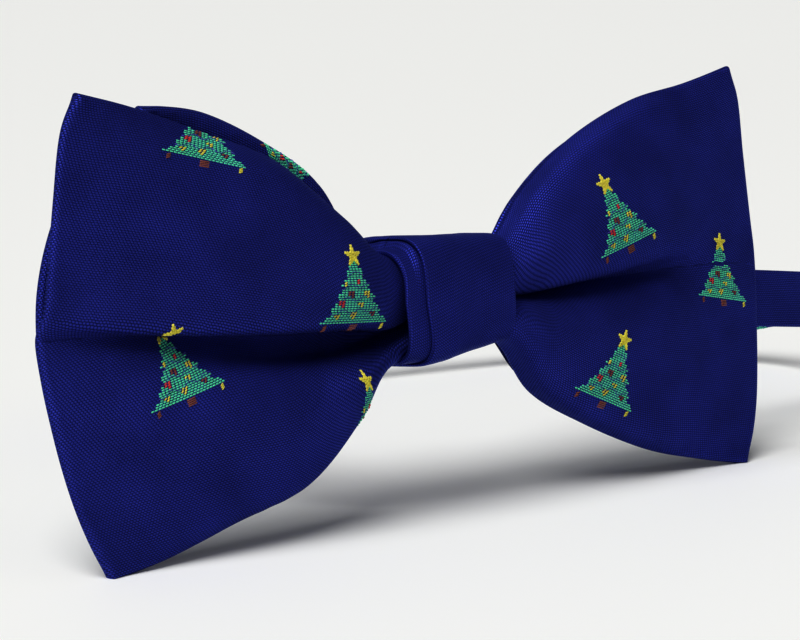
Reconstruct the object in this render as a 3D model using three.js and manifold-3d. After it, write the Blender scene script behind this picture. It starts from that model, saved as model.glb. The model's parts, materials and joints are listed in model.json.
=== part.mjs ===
// A ready-tied bow tie standing on a table, in millimetres, +Z up.
//
// The bow is built in its own upright frame: X runs from wing to wing, Y from the front of the bow
// to the wearer's collar, Z up from the middle of the knot. The last lines lean it back on its lower
// tips and set the origin at the bottom centre of the whole object.
import * as THREE from 'three';
import { mergeVertices } from 'three/addons/utils/BufferGeometryUtils.js';
import Module from 'manifold-3d';

const wasm = await Module();
wasm.setup();

// ---- Driving dimensions ----
const LEAN_DEG = 5.9;                 // the bow leans back on its lower tips
const PLY = 0.35;                     // one ply of cloth or interlining
const GAP = 0.3;                      // clearance between neighbouring pieces
const BAG_STEPS = { across: 22, along: 16 };   // grid of each ply, wing to wing and top to bottom

const STRAP_WIDTH = 9.2;              // neckband
const STRAP_THICK = 1.0;
const THREAD = 0.4;                   // sewing thread, doubled

const KNOT_TOP = 8.2;                 // half height of the knot inside its wrap
const KNOT_FRONT_Y = 0.9;             // inside face of the wrap, front and back
const KNOT_BACK_Y = 14.9;
const KNOT_RISE = 0.1;                // the knot sits a little above the middle of the bow
const KNOT_ROUND_FRONT = 3.6;         // exponents of the knot's outline: rounded in front,
const KNOT_ROUND_BACK = 8.0;          // flat behind
const KNOT_STEPS = 24;

const BAR_WIDE = 1.2;                 // bars of the metal fittings
const BAR_THICK = 0.9;
const LOOP_INSIDE = 1.0;              // inside radius of cloth folded round a bar
const LOOP_MID = LOOP_INSIDE + STRAP_THICK / 2;
const FITTING_INSIDE = 5.1;           // half width of the slots that the strap runs through
const FITTING_OUTSIDE = 6.2;

const SHORT_STRAP_LENGTH = 17;        // from its swing axis to the hook's bar
const HOOK_HEADING_DEG = 110;
const EYE_LENGTH = 8.0;               // from bar to bar
const EYE_HEADING_DEG = 275;
const STRETCH_HEADING_DEG = 63;       // straight end of the long strap, behind the eye
const STRETCH_LENGTH = 30;
const SLIDER_AT = 12;                 // slider's place on that stretch
const EYE_TRAVEL = 4;                 // the eye moves half as far as the slider
const FOLD_TAIL = 4;                  // cloth folded round the eye's bar reaches this far back

// ---- Materials ----
const navy = { color: 0x1b2150, roughness: 0.62, metalness: 0.0 };
const canvas = { color: 0xd9d4c6, roughness: 0.95, metalness: 0.0 };
const thread = { color: 0x161b40, roughness: 0.7, metalness: 0.0 };
const nickel = { color: 0xb9b9b6, roughness: 0.28, metalness: 1.0 };

const tie = new THREE.Group();

function addPiece(name, geometry, look) {
  const mesh = new THREE.Mesh(geometry, new THREE.MeshStandardMaterial(look));
  mesh.name = name;
  tie.add(mesh);
  return mesh;
}

// ---- Geometry helpers ----

// A closed solid from positions and triangles, turned so that its faces point out.
function solidFrom(positions, triangles) {
  let volume = 0;
  const corner = [new THREE.Vector3(), new THREE.Vector3(), new THREE.Vector3()];
  for (let i = 0; i < triangles.length; i += 3) {
    for (let k = 0; k < 3; k += 1) corner[k].copy(positions[triangles[i + k]]);
    volume += corner[0].dot(corner[1].clone().cross(corner[2]));
  }
  if (volume < 0) triangles.reverse();
  const geometry = new THREE.BufferGeometry();
  geometry.setAttribute('position', new THREE.Float32BufferAttribute(positions.flatMap((p) => p.toArray()), 3));
  geometry.setIndex(triangles);
  return geometry;
}

// A thin sheet: a grid of middle points thickened between two offsets along its normals.
function sheetSolid(grid, near, far) {
  const rows = grid.length;
  const columns = grid[0].length;
  const at = (i, j) => grid[Math.min(Math.max(i, 0), rows - 1)][Math.min(Math.max(j, 0), columns - 1)];
  const positions = [];
  for (const offset of [near, far]) {
    for (let i = 0; i < rows; i += 1) {
      for (let j = 0; j < columns; j += 1) {
        const along = at(i + 1, j).clone().sub(at(i - 1, j));
        const across = at(i, j + 1).clone().sub(at(i, j - 1));
        const normal = across.cross(along).normalize();
        positions.push(at(i, j).clone().addScaledVector(normal, offset));
      }
    }
  }
  const size = rows * columns;
  const triangles = [];
  const quad = (a, b, c, d) => triangles.push(a, b, c, a, c, d);
  for (let i = 0; i < rows - 1; i += 1) {
    for (let j = 0; j < columns - 1; j += 1) {
      const a = i * columns + j;
      quad(a, a + 1, a + columns + 1, a + columns);
      quad(size + a, size + a + columns, size + a + columns + 1, size + a + 1);
    }
  }
  const rim = [];
  for (let j = 0; j < columns - 1; j += 1) rim.push(j);
  for (let i = 0; i < rows - 1; i += 1) rim.push(i * columns + columns - 1);
  for (let j = columns - 1; j > 0; j -= 1) rim.push((rows - 1) * columns + j);
  for (let i = rows - 1; i > 0; i -= 1) rim.push(i * columns);
  rim.forEach((a, k) => {
    const b = rim[(k + 1) % rim.length];
    quad(b, a, size + a, size + b);
  });
  return solidFrom(positions, triangles);
}

// Rings of points joined in order; open runs get flat ends.
function loftSolid(rings, closed) {
  const count = rings[0].length;
  const positions = rings.flat();
  const triangles = [];
  const spans = closed ? rings.length : rings.length - 1;
  for (let i = 0; i < spans; i += 1) {
    const here = i * count;
    const next = ((i + 1) % rings.length) * count;
    for (let j = 0; j < count; j += 1) {
      const k = (j + 1) % count;
      triangles.push(here + j, here + k, next + k, here + j, next + k, next + j);
    }
  }
  if (!closed) {
    const last = (rings.length - 1) * count;
    for (let j = 1; j < count - 1; j += 1) {
      triangles.push(0, j + 1, j);
      triangles.push(last, last + j, last + j + 1);
    }
  }
  return solidFrom(positions, triangles);
}

// The outline of a bent strip: a path in a plane, given a thickness.
function stripOutline(path, thickness) {
  const left = [];
  const right = [];
  path.forEach((p, i) => {
    const before = path[Math.max(i - 1, 0)];
    const after = path[Math.min(i + 1, path.length - 1)];
    const way = new THREE.Vector2(after[0] - before[0], after[1] - before[1]).normalize();
    left.push(new THREE.Vector2(p[0] - way.y * thickness / 2, p[1] + way.x * thickness / 2));
    right.push(new THREE.Vector2(p[0] + way.y * thickness / 2, p[1] - way.x * thickness / 2));
  });
  return left.concat(right.reverse());
}

// Points on an arc in a plane, from one angle to another in degrees.
function arc(cx, cy, radius, from, to, steps) {
  const points = [];
  for (let i = 0; i <= steps; i += 1) {
    const angle = THREE.MathUtils.degToRad(from + (to - from) * i / steps);
    points.push([cx + radius * Math.cos(angle), cy + radius * Math.sin(angle)]);
  }
  return points;
}

// A plane outline extruded across the strap: x along the strap, y out of the loop, z across.
function acrossStrap(outline, halfWidth) {
  const geometry = new THREE.ExtrudeGeometry(new THREE.Shape(outline), { depth: 2 * halfWidth, bevelEnabled: false });
  geometry.translate(0, 0, -halfWidth);
  return geometry;
}

function toManifold(geometry) {
  const plain = geometry.clone();
  plain.deleteAttribute('normal');
  plain.deleteAttribute('uv');
  const merged = mergeVertices(plain, 1e-4);
  return new wasm.Manifold(new wasm.Mesh({
    numProp: 3,
    vertProperties: new Float32Array(merged.attributes.position.array),
    triVerts: new Uint32Array(merged.index.array),
  }));
}

function joined(geometries) {
  const whole = geometries.map(toManifold).reduce((sum, part) => sum.add(part));
  const mesh = whole.getMesh();
  const geometry = new THREE.BufferGeometry();
  geometry.setAttribute('position', new THREE.Float32BufferAttribute(mesh.vertProperties, 3));
  geometry.setIndex(Array.from(mesh.triVerts));
  return geometry;
}

// The direction across a strap that runs along a heading.
function acrossOf(along) {
  const out = new THREE.Vector3(0, 0, 1).cross(along);
  return along.clone().cross(out).normalize();
}

// Puts a fitting made in strap coordinates (x along, y out, z across) in its place.
function placeFitting(mesh, origin, along, across = acrossOf(along)) {
  const y = across.clone().cross(along).normalize();
  const z = across.clone().normalize();
  const x = y.clone().cross(z);
  mesh.quaternion.setFromRotationMatrix(new THREE.Matrix4().makeBasis(x, y, z));
  mesh.position.copy(origin);
}

function heading(degrees, slope) {
  const angle = THREE.MathUtils.degToRad(degrees);
  return new THREE.Vector3(Math.cos(angle), Math.sin(angle), slope).normalize();
}

// ---- The two bows: each is a flat cloth bag with an interlining, gathered at the knot ----
// A station is a place along the wing. Its points are [y, z] from the middle fold to the top edge.
const FRONT_STATIONS = [
  { x: 10.6, fold: [0, 0], half: [[8.2, 0], [7.5, 1.1], [5.2, 1.5], [3.6, 2.8], [3.5, 4.1], [4.8, 5.35], [8.0, 5.5]] },
  { x: 17, fold: [-1.2, 0.3], half: [[7.8, 0], [7.0, 1.5], [4.2, 2.5], [2.2, 5.0], [2.3, 8.8], [4.2, 12.0], [8.3, 12.4]] },
  { x: 26, fold: [-2.2, 0.5], half: [[7.0, 0], [6.1, 1.9], [3.5, 3.5], [1.9, 7.8], [2.0, 13.8], [3.7, 19.0], [7.2, 20.0]] },
  { x: 38, fold: [-1.6, 0.8], half: [[6.4, 0], [5.7, 2.4], [3.9, 4.8], [2.7, 10.2], [2.5, 17.2], [3.7, 23.4], [5.8, 25.2]] },
  { x: 50, fold: [0, 0.8], half: [[6.7, 0], [6.4, 4.3], [5.7, 8.8], [4.8, 14.5], [4.3, 20.6], [4.4, 25.2], [5.0, 28.0]] },
  { x: 61.2, fold: [0, 0], half: [[7.6, 0], [7.4, 5.0], [6.9, 10], [6.2, 16], [5.5, 21.6], [5.0, 26.3], [4.7, 30.2]] },
];
const BACK_STATIONS = [
  { x: 10.6, fold: [0, 0], half: [[10.3, 0], [10.5, 1.2], [10.8, 2.3], [10.8, 3.3], [10.5, 4.1], [10.4, 4.7], [10.5, 5.2]] },
  { x: 17, fold: [0, 0], half: [[10.1, 0], [10.6, 2.0], [11.5, 4.2], [11.8, 6.6], [11.3, 8.8], [10.9, 10.6], [10.8, 12.2]] },
  { x: 26, fold: [0, 0], half: [[9.5, 0], [10.5, 3.2], [11.7, 6.6], [11.8, 10.2], [11.0, 13.4], [10.4, 16.2], [10.0, 18.8]] },
  { x: 38, fold: [0, 0], half: [[9.1, 0], [9.9, 4.0], [10.8, 8.4], [10.6, 13.0], [9.7, 17.2], [9.0, 20.6], [8.5, 23.4]] },
  { x: 49, fold: [0, 0], half: [[9.3, 0], [9.7, 4.4], [9.9, 9.0], [9.5, 14.0], [8.8, 18.8], [8.2, 22.2], [7.9, 25.0]] },
  { x: 58, fold: [0, 0], half: [[9.9, 0], [9.9, 5.0], [9.6, 10], [9.1, 15], [8.5, 19.6], [8.1, 23.2], [7.9, 25.6]] },
];
const FRONT_CORNER_INSET = 6.1;       // the corners of the outer edge lie inside its middle
const BACK_CORNER_INSET = 11.6;
const BACK_LIFT = 0.061;              // the back bow's left wing rises this much per millimetre

// The full profile at one station: the lower half mirrors the upper one, and the middle fold
// may sit a little above or below the middle.
function stationProfile(station, side, inset, widest) {
  const last = station.half.length - 1;
  const profile = [];
  for (let k = -last; k <= last; k += 1) {
    const [y, z] = station.half[Math.abs(k)];
    const reach = Math.abs(k) / last;
    const pull = inset * reach ** 2 * (station.x / widest) ** 3;
    const shift = station.fold[side < 0 ? 0 : 1] * (1 - reach) ** 0.7;
    profile.push(new THREE.Vector3(side * (station.x - pull), y, Math.sign(k) * z + shift));
  }
  return new THREE.CatmullRomCurve3(profile, false, 'centripetal');
}

function bowGrid(stations, inset, lift) {
  const widest = stations[stations.length - 1].x;
  const centre = { ...stations[0], x: 0 };
  const left = stations.map((s) => stationProfile(s, -1, inset, widest)).reverse();
  const right = stations.map((s) => stationProfile(s, 1, inset, widest));
  const profiles = [...left, stationProfile(centre, 1, inset, widest), ...right];
  const grid = [];
  for (let i = 0; i <= BAG_STEPS.along; i += 1) {
    const t = i / BAG_STEPS.along;
    const run = new THREE.CatmullRomCurve3(profiles.map((p) => p.getPoint(t)), false, 'centripetal');
    const row = [];
    for (let j = 0; j <= BAG_STEPS.across; j += 1) {
      const point = run.getPoint(j / BAG_STEPS.across);
      point.z += lift * Math.max(-point.x, 0);
      row.push(point);
    }
    grid.push(row);
  }
  return grid;
}

function addBow(name, stations, inset, lift) {
  const grid = bowGrid(stations, inset, lift);
  const step = PLY + GAP;
  const plies = [['face', step, navy], ['interlining', 0, canvas], ['backing', -step, navy]];
  for (const [ply, middle, look] of plies) {
    addPiece(`${name}_${ply}`, sheetSolid(grid, middle - PLY / 2, middle + PLY / 2), look);
  }
}

// ---- The knot: a pleated cloth ring round both bows and the neckband ----

// A point on the knot's outline at an angle, a height above the inside face of the wrap.
function knotPoint(angle, x, height) {
  const c = Math.cos(angle);
  const s = Math.sin(angle);
  const round = c < 0 ? KNOT_ROUND_FRONT : KNOT_ROUND_BACK;
  const halfDepth = (KNOT_BACK_Y - KNOT_FRONT_Y) / 2 + height;
  const y = (KNOT_BACK_Y + KNOT_FRONT_Y) / 2 + halfDepth * Math.sign(c) * Math.abs(c) ** (2 / round);
  const z = KNOT_RISE + (KNOT_TOP + height) * Math.sign(s) * Math.abs(s) ** (2 / round);
  return new THREE.Vector3(x, y, z);
}

function knotRing(outline) {
  const rings = [];
  for (let i = 0; i < KNOT_STEPS; i += 1) {
    const angle = (i + 0.5) / KNOT_STEPS * 2 * Math.PI;
    rings.push(outline.map((p) => knotPoint(angle, p.x, p.y)));
  }
  return loftSolid(rings, true);
}

function addKnot() {
  const low = PLY / 2;
  const mid = low + PLY + GAP;
  const high = mid + PLY + GAP;
  const turn = (PLY + GAP) / 2;
  const foldedEdge = -7.0;
  const innerEdge = -4.6;
  const flatEnd = 0.4;                // keeps the back of the fold truly flat between its two ends
  const section = [
    [9.6, low], [4.5, low], [-0.6, low + 0.05], [-3.4, high], [-3.4 - flatEnd, high],
    [foldedEdge + flatEnd, high], [foldedEdge, high],
    [foldedEdge - turn, high - turn], [foldedEdge, mid], [innerEdge, mid],
    [innerEdge + turn, mid - turn], [innerEdge, low], [-11.0, low],
  ];
  addPiece('knot_wrap', knotRing(stripOutline(section, PLY)), navy);
  const lining = stripOutline([[8.4, -GAP - PLY / 2], [-9.8, -GAP - PLY / 2]], PLY);
  addPiece('knot_interlining', knotRing(lining), canvas);
}

// Thread wound round the gathered middle of both bows, under the knot.
function addBindingThread() {
  const turns = 3;
  const stepsPerTurn = 20;
  const pitch = 1.1;
  const inside = { middleY: 7.1, halfDepth: 5.1, halfHeight: 6.75, round: 4.0 };
  const sides = 5;
  const rings = [];
  for (let i = 0; i <= turns * stepsPerTurn; i += 1) {
    const angle = i / stepsPerTurn * 2 * Math.PI;
    const c = Math.cos(angle);
    const s = Math.sin(angle);
    const ring = [];
    for (let k = 0; k < sides; k += 1) {
      const around = k / sides * 2 * Math.PI;
      const height = Math.cos(around) * THREAD / 2;
      const x = (i / stepsPerTurn - turns / 2) * pitch + Math.sin(around) * THREAD / 2;
      const y = inside.middleY + (inside.halfDepth + height) * Math.sign(c) * Math.abs(c) ** (2 / inside.round);
      const z = (inside.halfHeight + height) * Math.sign(s) * Math.abs(s) ** (2 / inside.round);
      ring.push(new THREE.Vector3(x, y, z));
    }
    rings.push(ring);
  }
  addPiece('centre_binding_thread', loftSolid(rings, false), thread);
}

// Slip stitches that close the wrap behind the knot.
function addClosingStitches() {
  const y = KNOT_BACK_Y + PLY + GAP + THREAD / 2;
  const path = [];
  for (let i = 0; i <= 8; i += 1) path.push([1.4 + i * 0.85, i % 2 ? -2.1 : -3.3]);
  const outline = new THREE.Shape(stripOutline(path, THREAD));
  const geometry = new THREE.ExtrudeGeometry(outline, { depth: THREAD, bevelEnabled: false });
  geometry.rotateX(Math.PI / 2);
  geometry.translate(0, y + THREAD / 2, 0);
  addPiece('knot_closing_stitches', geometry, thread);
}

// ---- Neckband ----
const lean = THREE.MathUtils.degToRad(LEAN_DEG);

const swingAxis = new THREE.Vector3(-20, 20, -1.5);
const hookWay = heading(HOOK_HEADING_DEG, -0.08);
const hookOut = new THREE.Vector3(0, 0, 1).cross(hookWay).normalize();
const hookBar = swingAxis.clone().addScaledVector(hookWay, SHORT_STRAP_LENGTH).addScaledVector(hookOut, -LOOP_MID);
const eyeFarBar = hookBar.clone().addScaledVector(hookWay, 11.0).addScaledVector(hookOut, -4.4);
const eyeBar = eyeFarBar.clone().addScaledVector(heading(EYE_HEADING_DEG, 0.1), -EYE_LENGTH);
const stretchWay = heading(STRETCH_HEADING_DEG, -0.11);
const stretchOut = new THREE.Vector3(0, 0, 1).cross(stretchWay).normalize();
const strapEnd = eyeBar.clone().addScaledVector(stretchOut, LOOP_MID);

// The strap's middle line, from its swing axis through the knot and round to the straight end.
const ROUTE = [
  [-15.2, 15.6, -1.1], [-11.0, 13.5, -0.9], [-6.0, 13.2, -0.8], [6.0, 13.2, -0.9], [11.0, 13.4, -1.1],
  [16.5, 14.8, -1.6], [24, 15.4, -2.4], [36, 15.5, -3.4], [52, 15.7, -4.9], [69, 16.3, -6.4],
  [82, 17.6, -7.8], [95, 21, -9.2], [106, 28, -10.4], [113.5, 39, -11.3], [116, 52, -12.4],
  [112, 66, -15.6], [101, 78.5, -17.95], [87, 85, -15.6], [72.5, 88.5, -11.9], [58, 90.3, -11.0],
  [42, 91.8, -11.4], [22, 92.2, -11.4], [5, 91, -10.4],
];

function strapRings(curve, from, to, steps) {
  const rings = [];
  for (let i = 0; i <= steps; i += 1) {
    const t = from + (to - from) * i / steps;
    const p = curve.getPointAt(t);
    const way = curve.getTangentAt(t);
    const across = acrossOf(way).multiplyScalar(STRAP_WIDTH / 2);
    const out = across.clone().cross(way).setLength(STRAP_THICK / 2);
    const corner = (a, b) => p.clone().addScaledVector(out, a).addScaledVector(across, b);
    rings.push([corner(1, 1), corner(-1, 1), corner(-1, -1), corner(1, -1)]);
  }
  return rings;
}

function alongStretch(distance) {
  return strapEnd.clone().addScaledVector(stretchWay, distance);
}

function addLongStrap() {
  const stretch = [1, 0.85, 0.7, 0.55, 0.4].map((share) => alongStretch(share * STRETCH_LENGTH));
  stretch.push(alongStretch(FOLD_TAIL + EYE_TRAVEL + GAP));
  const start = swingAxis.clone().addScaledVector(hookWay, -0.5);
  const points = [start, ...ROUTE.map((p) => new THREE.Vector3(...p)), ...stretch];
  const curve = new THREE.CatmullRomCurve3(points, false, 'centripetal');
  addPiece('neckband_long_strap', loftSolid(strapRings(curve, 0, 1, 84), false), navy);
}

function addShortStrap() {
  const outline = stripOutline([[0.5, LOOP_MID], [SHORT_STRAP_LENGTH - 8.3, LOOP_MID]], STRAP_THICK);
  const axisFoot = hookBar.clone().addScaledVector(hookWay, -SHORT_STRAP_LENGTH);
  placeFitting(addPiece('short_strap', acrossStrap(outline, STRAP_WIDTH / 2), navy), axisFoot, hookWay);
  const foldPath = [[-8, LOOP_MID], ...arc(0, 0, LOOP_MID, 90, -90, 6), [-7, -LOOP_MID]];
  const fold = acrossStrap(stripOutline(foldPath, STRAP_THICK), STRAP_WIDTH / 2);
  placeFitting(addPiece('short_strap_end_fold', fold, navy), hookBar, hookWay);
  addBartack('hook_bartack', hookBar, hookWay, -5.2, LOOP_MID + STRAP_THICK / 2 + GAP);
}

// A close row of stitches across the strap, on its outer face.
function addBartack(name, origin, along, at, height) {
  const outline = stripOutline([[at - 0.6, height + 0.2], [at + 0.6, height + 0.2]], 0.4);
  placeFitting(addPiece(name, acrossStrap(outline, 3.6), thread), origin, along);
}

// ---- Metal fittings ----
function addHook() {
  const plate = new THREE.Shape();
  plate.moveTo(-BAR_WIDE / 2, -FITTING_OUTSIDE);
  plate.lineTo(3.2, -FITTING_OUTSIDE);
  plate.quadraticCurveTo(5.4, -FITTING_OUTSIDE, 6.2, -3.4);
  plate.lineTo(7.4, -2.4);
  plate.lineTo(7.4, 2.4);
  plate.lineTo(6.2, 3.4);
  plate.quadraticCurveTo(5.4, FITTING_OUTSIDE, 3.2, FITTING_OUTSIDE);
  plate.lineTo(-BAR_WIDE / 2, FITTING_OUTSIDE);
  const slot = new THREE.Path();
  slot.moveTo(BAR_WIDE / 2, -FITTING_INSIDE);
  slot.lineTo(BAR_WIDE / 2, FITTING_INSIDE);
  slot.lineTo(3.0, FITTING_INSIDE);
  slot.lineTo(3.0, -FITTING_INSIDE);
  plate.holes.push(slot);
  const flat = new THREE.ExtrudeGeometry(plate, { depth: BAR_THICK, bevelEnabled: false, curveSegments: 5 });
  flat.rotateX(Math.PI / 2);
  flat.translate(0, BAR_THICK / 2, 0);
  const bend = [[6.9, 0], [11.8, 0], ...arc(11.8, -1.5, 1.5, 70, -70, 4), [11.8, -3.0], [10.4, -2.9]];
  const tongue = acrossStrap(stripOutline(bend, BAR_THICK), 2.3);
  placeFitting(addPiece('hook', joined([flat, tongue]), nickel), hookBar, hookWay);
}

function addEyeRing() {
  const outside = new THREE.Shape();
  outside.moveTo(-BAR_WIDE / 2, -FITTING_OUTSIDE);
  outside.lineTo(EYE_LENGTH + BAR_WIDE / 2, -FITTING_OUTSIDE);
  outside.lineTo(EYE_LENGTH + BAR_WIDE / 2, FITTING_OUTSIDE);
  outside.lineTo(-BAR_WIDE / 2, FITTING_OUTSIDE);
  const inside = new THREE.Path();
  inside.moveTo(BAR_WIDE / 2, -FITTING_INSIDE);
  inside.lineTo(BAR_WIDE / 2, FITTING_INSIDE);
  inside.lineTo(EYE_LENGTH - BAR_WIDE / 2, FITTING_INSIDE);
  inside.lineTo(EYE_LENGTH - BAR_WIDE / 2, -FITTING_INSIDE);
  outside.holes.push(inside);
  const ring = new THREE.ExtrudeGeometry(outside, { depth: BAR_THICK, bevelEnabled: false });
  ring.rotateX(Math.PI / 2);
  ring.translate(0, BAR_THICK / 2, 0);
  placeFitting(addPiece('eye_ring', ring, nickel), eyeBar, heading(EYE_HEADING_DEG, 0.1), acrossOf(stretchWay));
}

function addEyeFold() {
  const path = [[FOLD_TAIL, LOOP_MID], ...arc(0, 0, LOOP_MID, 90, 270, 6), [FOLD_TAIL, -LOOP_MID]];
  const fold = acrossStrap(stripOutline(path, STRAP_THICK), STRAP_WIDTH / 2);
  placeFitting(addPiece('eye_end_fold', fold, navy), eyeBar, stretchWay);
}

// A bent three-bar slider: the strap runs over the middle bar and under the outer ones.
function addSlider() {
  const origin = eyeBar.clone().addScaledVector(stretchWay, SLIDER_AT);
  const outerBar = LOOP_MID + STRAP_THICK / 2 + GAP + BAR_THICK / 2;
  const railPath = [[-4.0, outerBar], [-2.6, outerBar - 0.7], [0, -LOOP_MID], [2.6, outerBar - 0.7], [4.0, outerBar]];
  const railOutline = stripOutline(railPath, BAR_THICK);
  const railWide = (FITTING_OUTSIDE - FITTING_INSIDE) / 2;
  const rails = [-1, 1].map((side) => {
    const rail = acrossStrap(railOutline, railWide);
    rail.translate(0, 0, side * (FITTING_INSIDE + railWide));
    return rail;
  });
  const bars = [[-3.8, outerBar], [0, -LOOP_MID], [3.8, outerBar]].map(([x, y]) => {
    const bar = new THREE.BoxGeometry(BAR_WIDE, BAR_THICK, 2 * FITTING_OUTSIDE - 0.2);
    bar.translate(x, y, 0);
    return bar;
  });
  placeFitting(addPiece('slider_frame', joined([...rails, ...bars]), nickel), origin, stretchWay);

  const outer = LOOP_INSIDE + 0.6;
  const wrap = new THREE.Shape();
  wrap.moveTo(-SLIDER_AT + FOLD_TAIL + 2 * GAP, -LOOP_MID - STRAP_THICK / 2);
  arc(0, -LOOP_MID, outer, 200, 520, 12).forEach(([x, y]) => wrap.lineTo(x, y));
  wrap.lineTo(-SLIDER_AT + FOLD_TAIL + 2 * GAP, -LOOP_MID + STRAP_THICK / 2);
  const eyelet = new THREE.Path();
  arc(0, -LOOP_MID, LOOP_INSIDE, 0, -330, 11).forEach(([x, y], i) => (i ? eyelet.lineTo(x, y) : eyelet.moveTo(x, y)));
  wrap.holes.push(eyelet);
  const fold = new THREE.ExtrudeGeometry(wrap, { depth: STRAP_WIDTH, bevelEnabled: false });
  fold.translate(0, 0, -STRAP_WIDTH / 2);
  placeFitting(addPiece('slider_end_fold', fold, navy), origin, stretchWay);
  addBartack('slider_bartack', origin, stretchWay, -3.4, -LOOP_MID - STRAP_THICK / 2 - GAP - 0.4);
}

addBow('front_bow', FRONT_STATIONS, FRONT_CORNER_INSET, 0);
addBow('back_bow', BACK_STATIONS, BACK_CORNER_INSET, BACK_LIFT);
addBindingThread();
addKnot();
addClosingStitches();
addLongStrap();
addShortStrap();
addHook();
addEyeFold();
addEyeRing();
addSlider();

// Lean the tie back on its lower tips, and set the origin at the bottom centre of its box.
tie.rotation.x = -lean;
tie.updateMatrixWorld(true);
const box = new THREE.Box3().setFromObject(tie, true);
tie.position.set(-(box.min.x + box.max.x) / 2, -(box.min.y + box.max.y) / 2, -box.min.z);
tie.updateMatrixWorld(true);

export default tie;
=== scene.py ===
"""A ready-tied bow tie: two gathered cloth bows under a pleated knot, on a neckband with a hook and eye.

Lengths inside this file are millimetres in the bow's own upright frame: X runs from wing to wing, Y from
the front of the bow to the collar, Z up from the middle of the knot. Pieces are made in metres in the row
frame, where the bow leans back on its lower tips.
"""

import json
import math
import random

import bpy
import numpy as np
from mathutils import Matrix, Vector
from mathutils.bvhtree import BVHTree
from mathutils.geometry import barycentric_transform


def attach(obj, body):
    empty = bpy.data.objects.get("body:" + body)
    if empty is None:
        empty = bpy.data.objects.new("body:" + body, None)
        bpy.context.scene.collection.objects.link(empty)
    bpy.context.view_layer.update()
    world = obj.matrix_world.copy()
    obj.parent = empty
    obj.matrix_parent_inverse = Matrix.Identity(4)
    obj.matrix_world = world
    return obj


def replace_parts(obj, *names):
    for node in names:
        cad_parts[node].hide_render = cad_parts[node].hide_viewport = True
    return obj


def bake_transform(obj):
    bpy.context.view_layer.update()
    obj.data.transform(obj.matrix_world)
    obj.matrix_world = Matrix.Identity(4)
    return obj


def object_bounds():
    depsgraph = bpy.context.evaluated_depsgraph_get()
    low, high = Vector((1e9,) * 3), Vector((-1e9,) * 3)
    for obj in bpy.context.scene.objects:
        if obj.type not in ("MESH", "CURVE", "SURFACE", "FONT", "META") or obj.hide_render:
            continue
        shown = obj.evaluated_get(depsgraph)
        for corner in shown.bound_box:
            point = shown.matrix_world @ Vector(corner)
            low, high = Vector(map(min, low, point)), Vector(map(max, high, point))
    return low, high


bl_info = {
    "name": "Ready-tied bow tie",
    "version": (1, 0, 0),
    "blender": (4, 5, 0),
    "location": "3D View > Sidebar > Bow tie",
    "description": "Builds a ready-tied bow tie on its packed frame",
    "category": "Add Mesh",
}

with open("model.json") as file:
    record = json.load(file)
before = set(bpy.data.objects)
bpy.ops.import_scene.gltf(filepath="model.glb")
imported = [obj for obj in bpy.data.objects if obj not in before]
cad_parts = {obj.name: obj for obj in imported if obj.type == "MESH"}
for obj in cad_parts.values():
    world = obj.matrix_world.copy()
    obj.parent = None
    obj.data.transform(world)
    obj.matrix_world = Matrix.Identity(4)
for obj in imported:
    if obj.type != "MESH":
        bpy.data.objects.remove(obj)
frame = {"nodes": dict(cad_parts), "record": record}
CAD_BOX = [[float(c) for c in corner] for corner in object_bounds()]

# ---- The bow's own frame, found from the mount on the back of its knot ----
MM = 0.001
MOUNT = frame["record"]["mounts"][0]
MOUNT_IN_BOW = (-5.2, 16.5314, 1.5)
RIGHT = Vector((1, 0, 0))
BACKWARD = Vector(MOUNT["axis"]).normalized()
UPWARD = RIGHT.cross(BACKWARD).normalized()
TURN = Matrix((RIGHT, BACKWARD, UPWARD)).transposed()
MIDDLE = Vector(MOUNT["pos_m"]) - TURN @ (Vector(MOUNT_IN_BOW) * MM)
BOW_TO_ROW = Matrix.Translation(MIDDLE) @ TURN.to_4x4() @ Matrix.Scale(MM, 4)

# ---- Shape of the two bows ----
# A station is a place along a wing: x, then points (y, z) across the wing from its bottom edge over the
# lower roll, into the middle fold and over the upper roll to its top edge.
FRONT_LEFT = [
    (10.6, [(8.2, -8.2), (5.6, -8.0), (4.2, -7.4), (4.2, -6.6), (5.6, -5.6), (7.8, -4.4), (8.3, -3.0),
            (7.0, -2.5), (3.8, -2.3), (2.8, 0.4), (2.7, 3.6), (4.2, 6.0), (8.0, 6.6)]),
    (17, [(8.0, -15.0), (4.2, -14.6), (2.2, -11.8), (2.1, -9.0), (4.0, -7.0), (7.2, -5.4), (8.4, -2.6),
          (6.2, -1.6), (2.6, -1.8), (1.5, 1.8), (1.8, 7.2), (4.4, 11.8), (8.4, 12.7)]),
    (26, [(7.2, -22.6), (4.0, -21.8), (2.1, -16.4), (1.9, -11.2), (3.4, -7.6), (6.4, -5.6), (7.9, -2.4),
          (5.8, -1.0), (1.9, -1.2), (1.2, 2.6), (1.6, 9.8), (4.0, 17.8), (7.7, 20.2)]),
    (38, [(6.0, -26.0), (4.0, -24.4), (2.5, -18.0), (2.1, -12.0), (3.0, -7.0), (5.4, -4.2), (7.2, -1.2),
          (5.4, -0.2), (2.1, -0.3), (1.6, 3.6), (2.2, 11.6), (4.3, 20.5), (7.4, 24.7)]),
    (50, [(5.2, -28.9), (4.4, -26.0), (4.1, -20.6), (4.1, -13.6), (4.7, -7.4), (5.9, -3.2), (7.2, 0.0),
          (6.1, 0.7), (4.2, 0.9), (4.0, 5.2), (4.0, 14.0), (4.9, 23.6), (6.6, 28.2)]),
    (61.2, [(4.7, -30.4), (5.0, -26.3), (5.5, -21.6), (6.2, -16), (6.9, -10), (7.4, -5), (7.8, 0.2),
            (7.3, 1.4), (6.7, 3.0), (6.4, 8), (5.8, 17), (5.1, 26.3), (4.7, 30.2)]),
]
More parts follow.
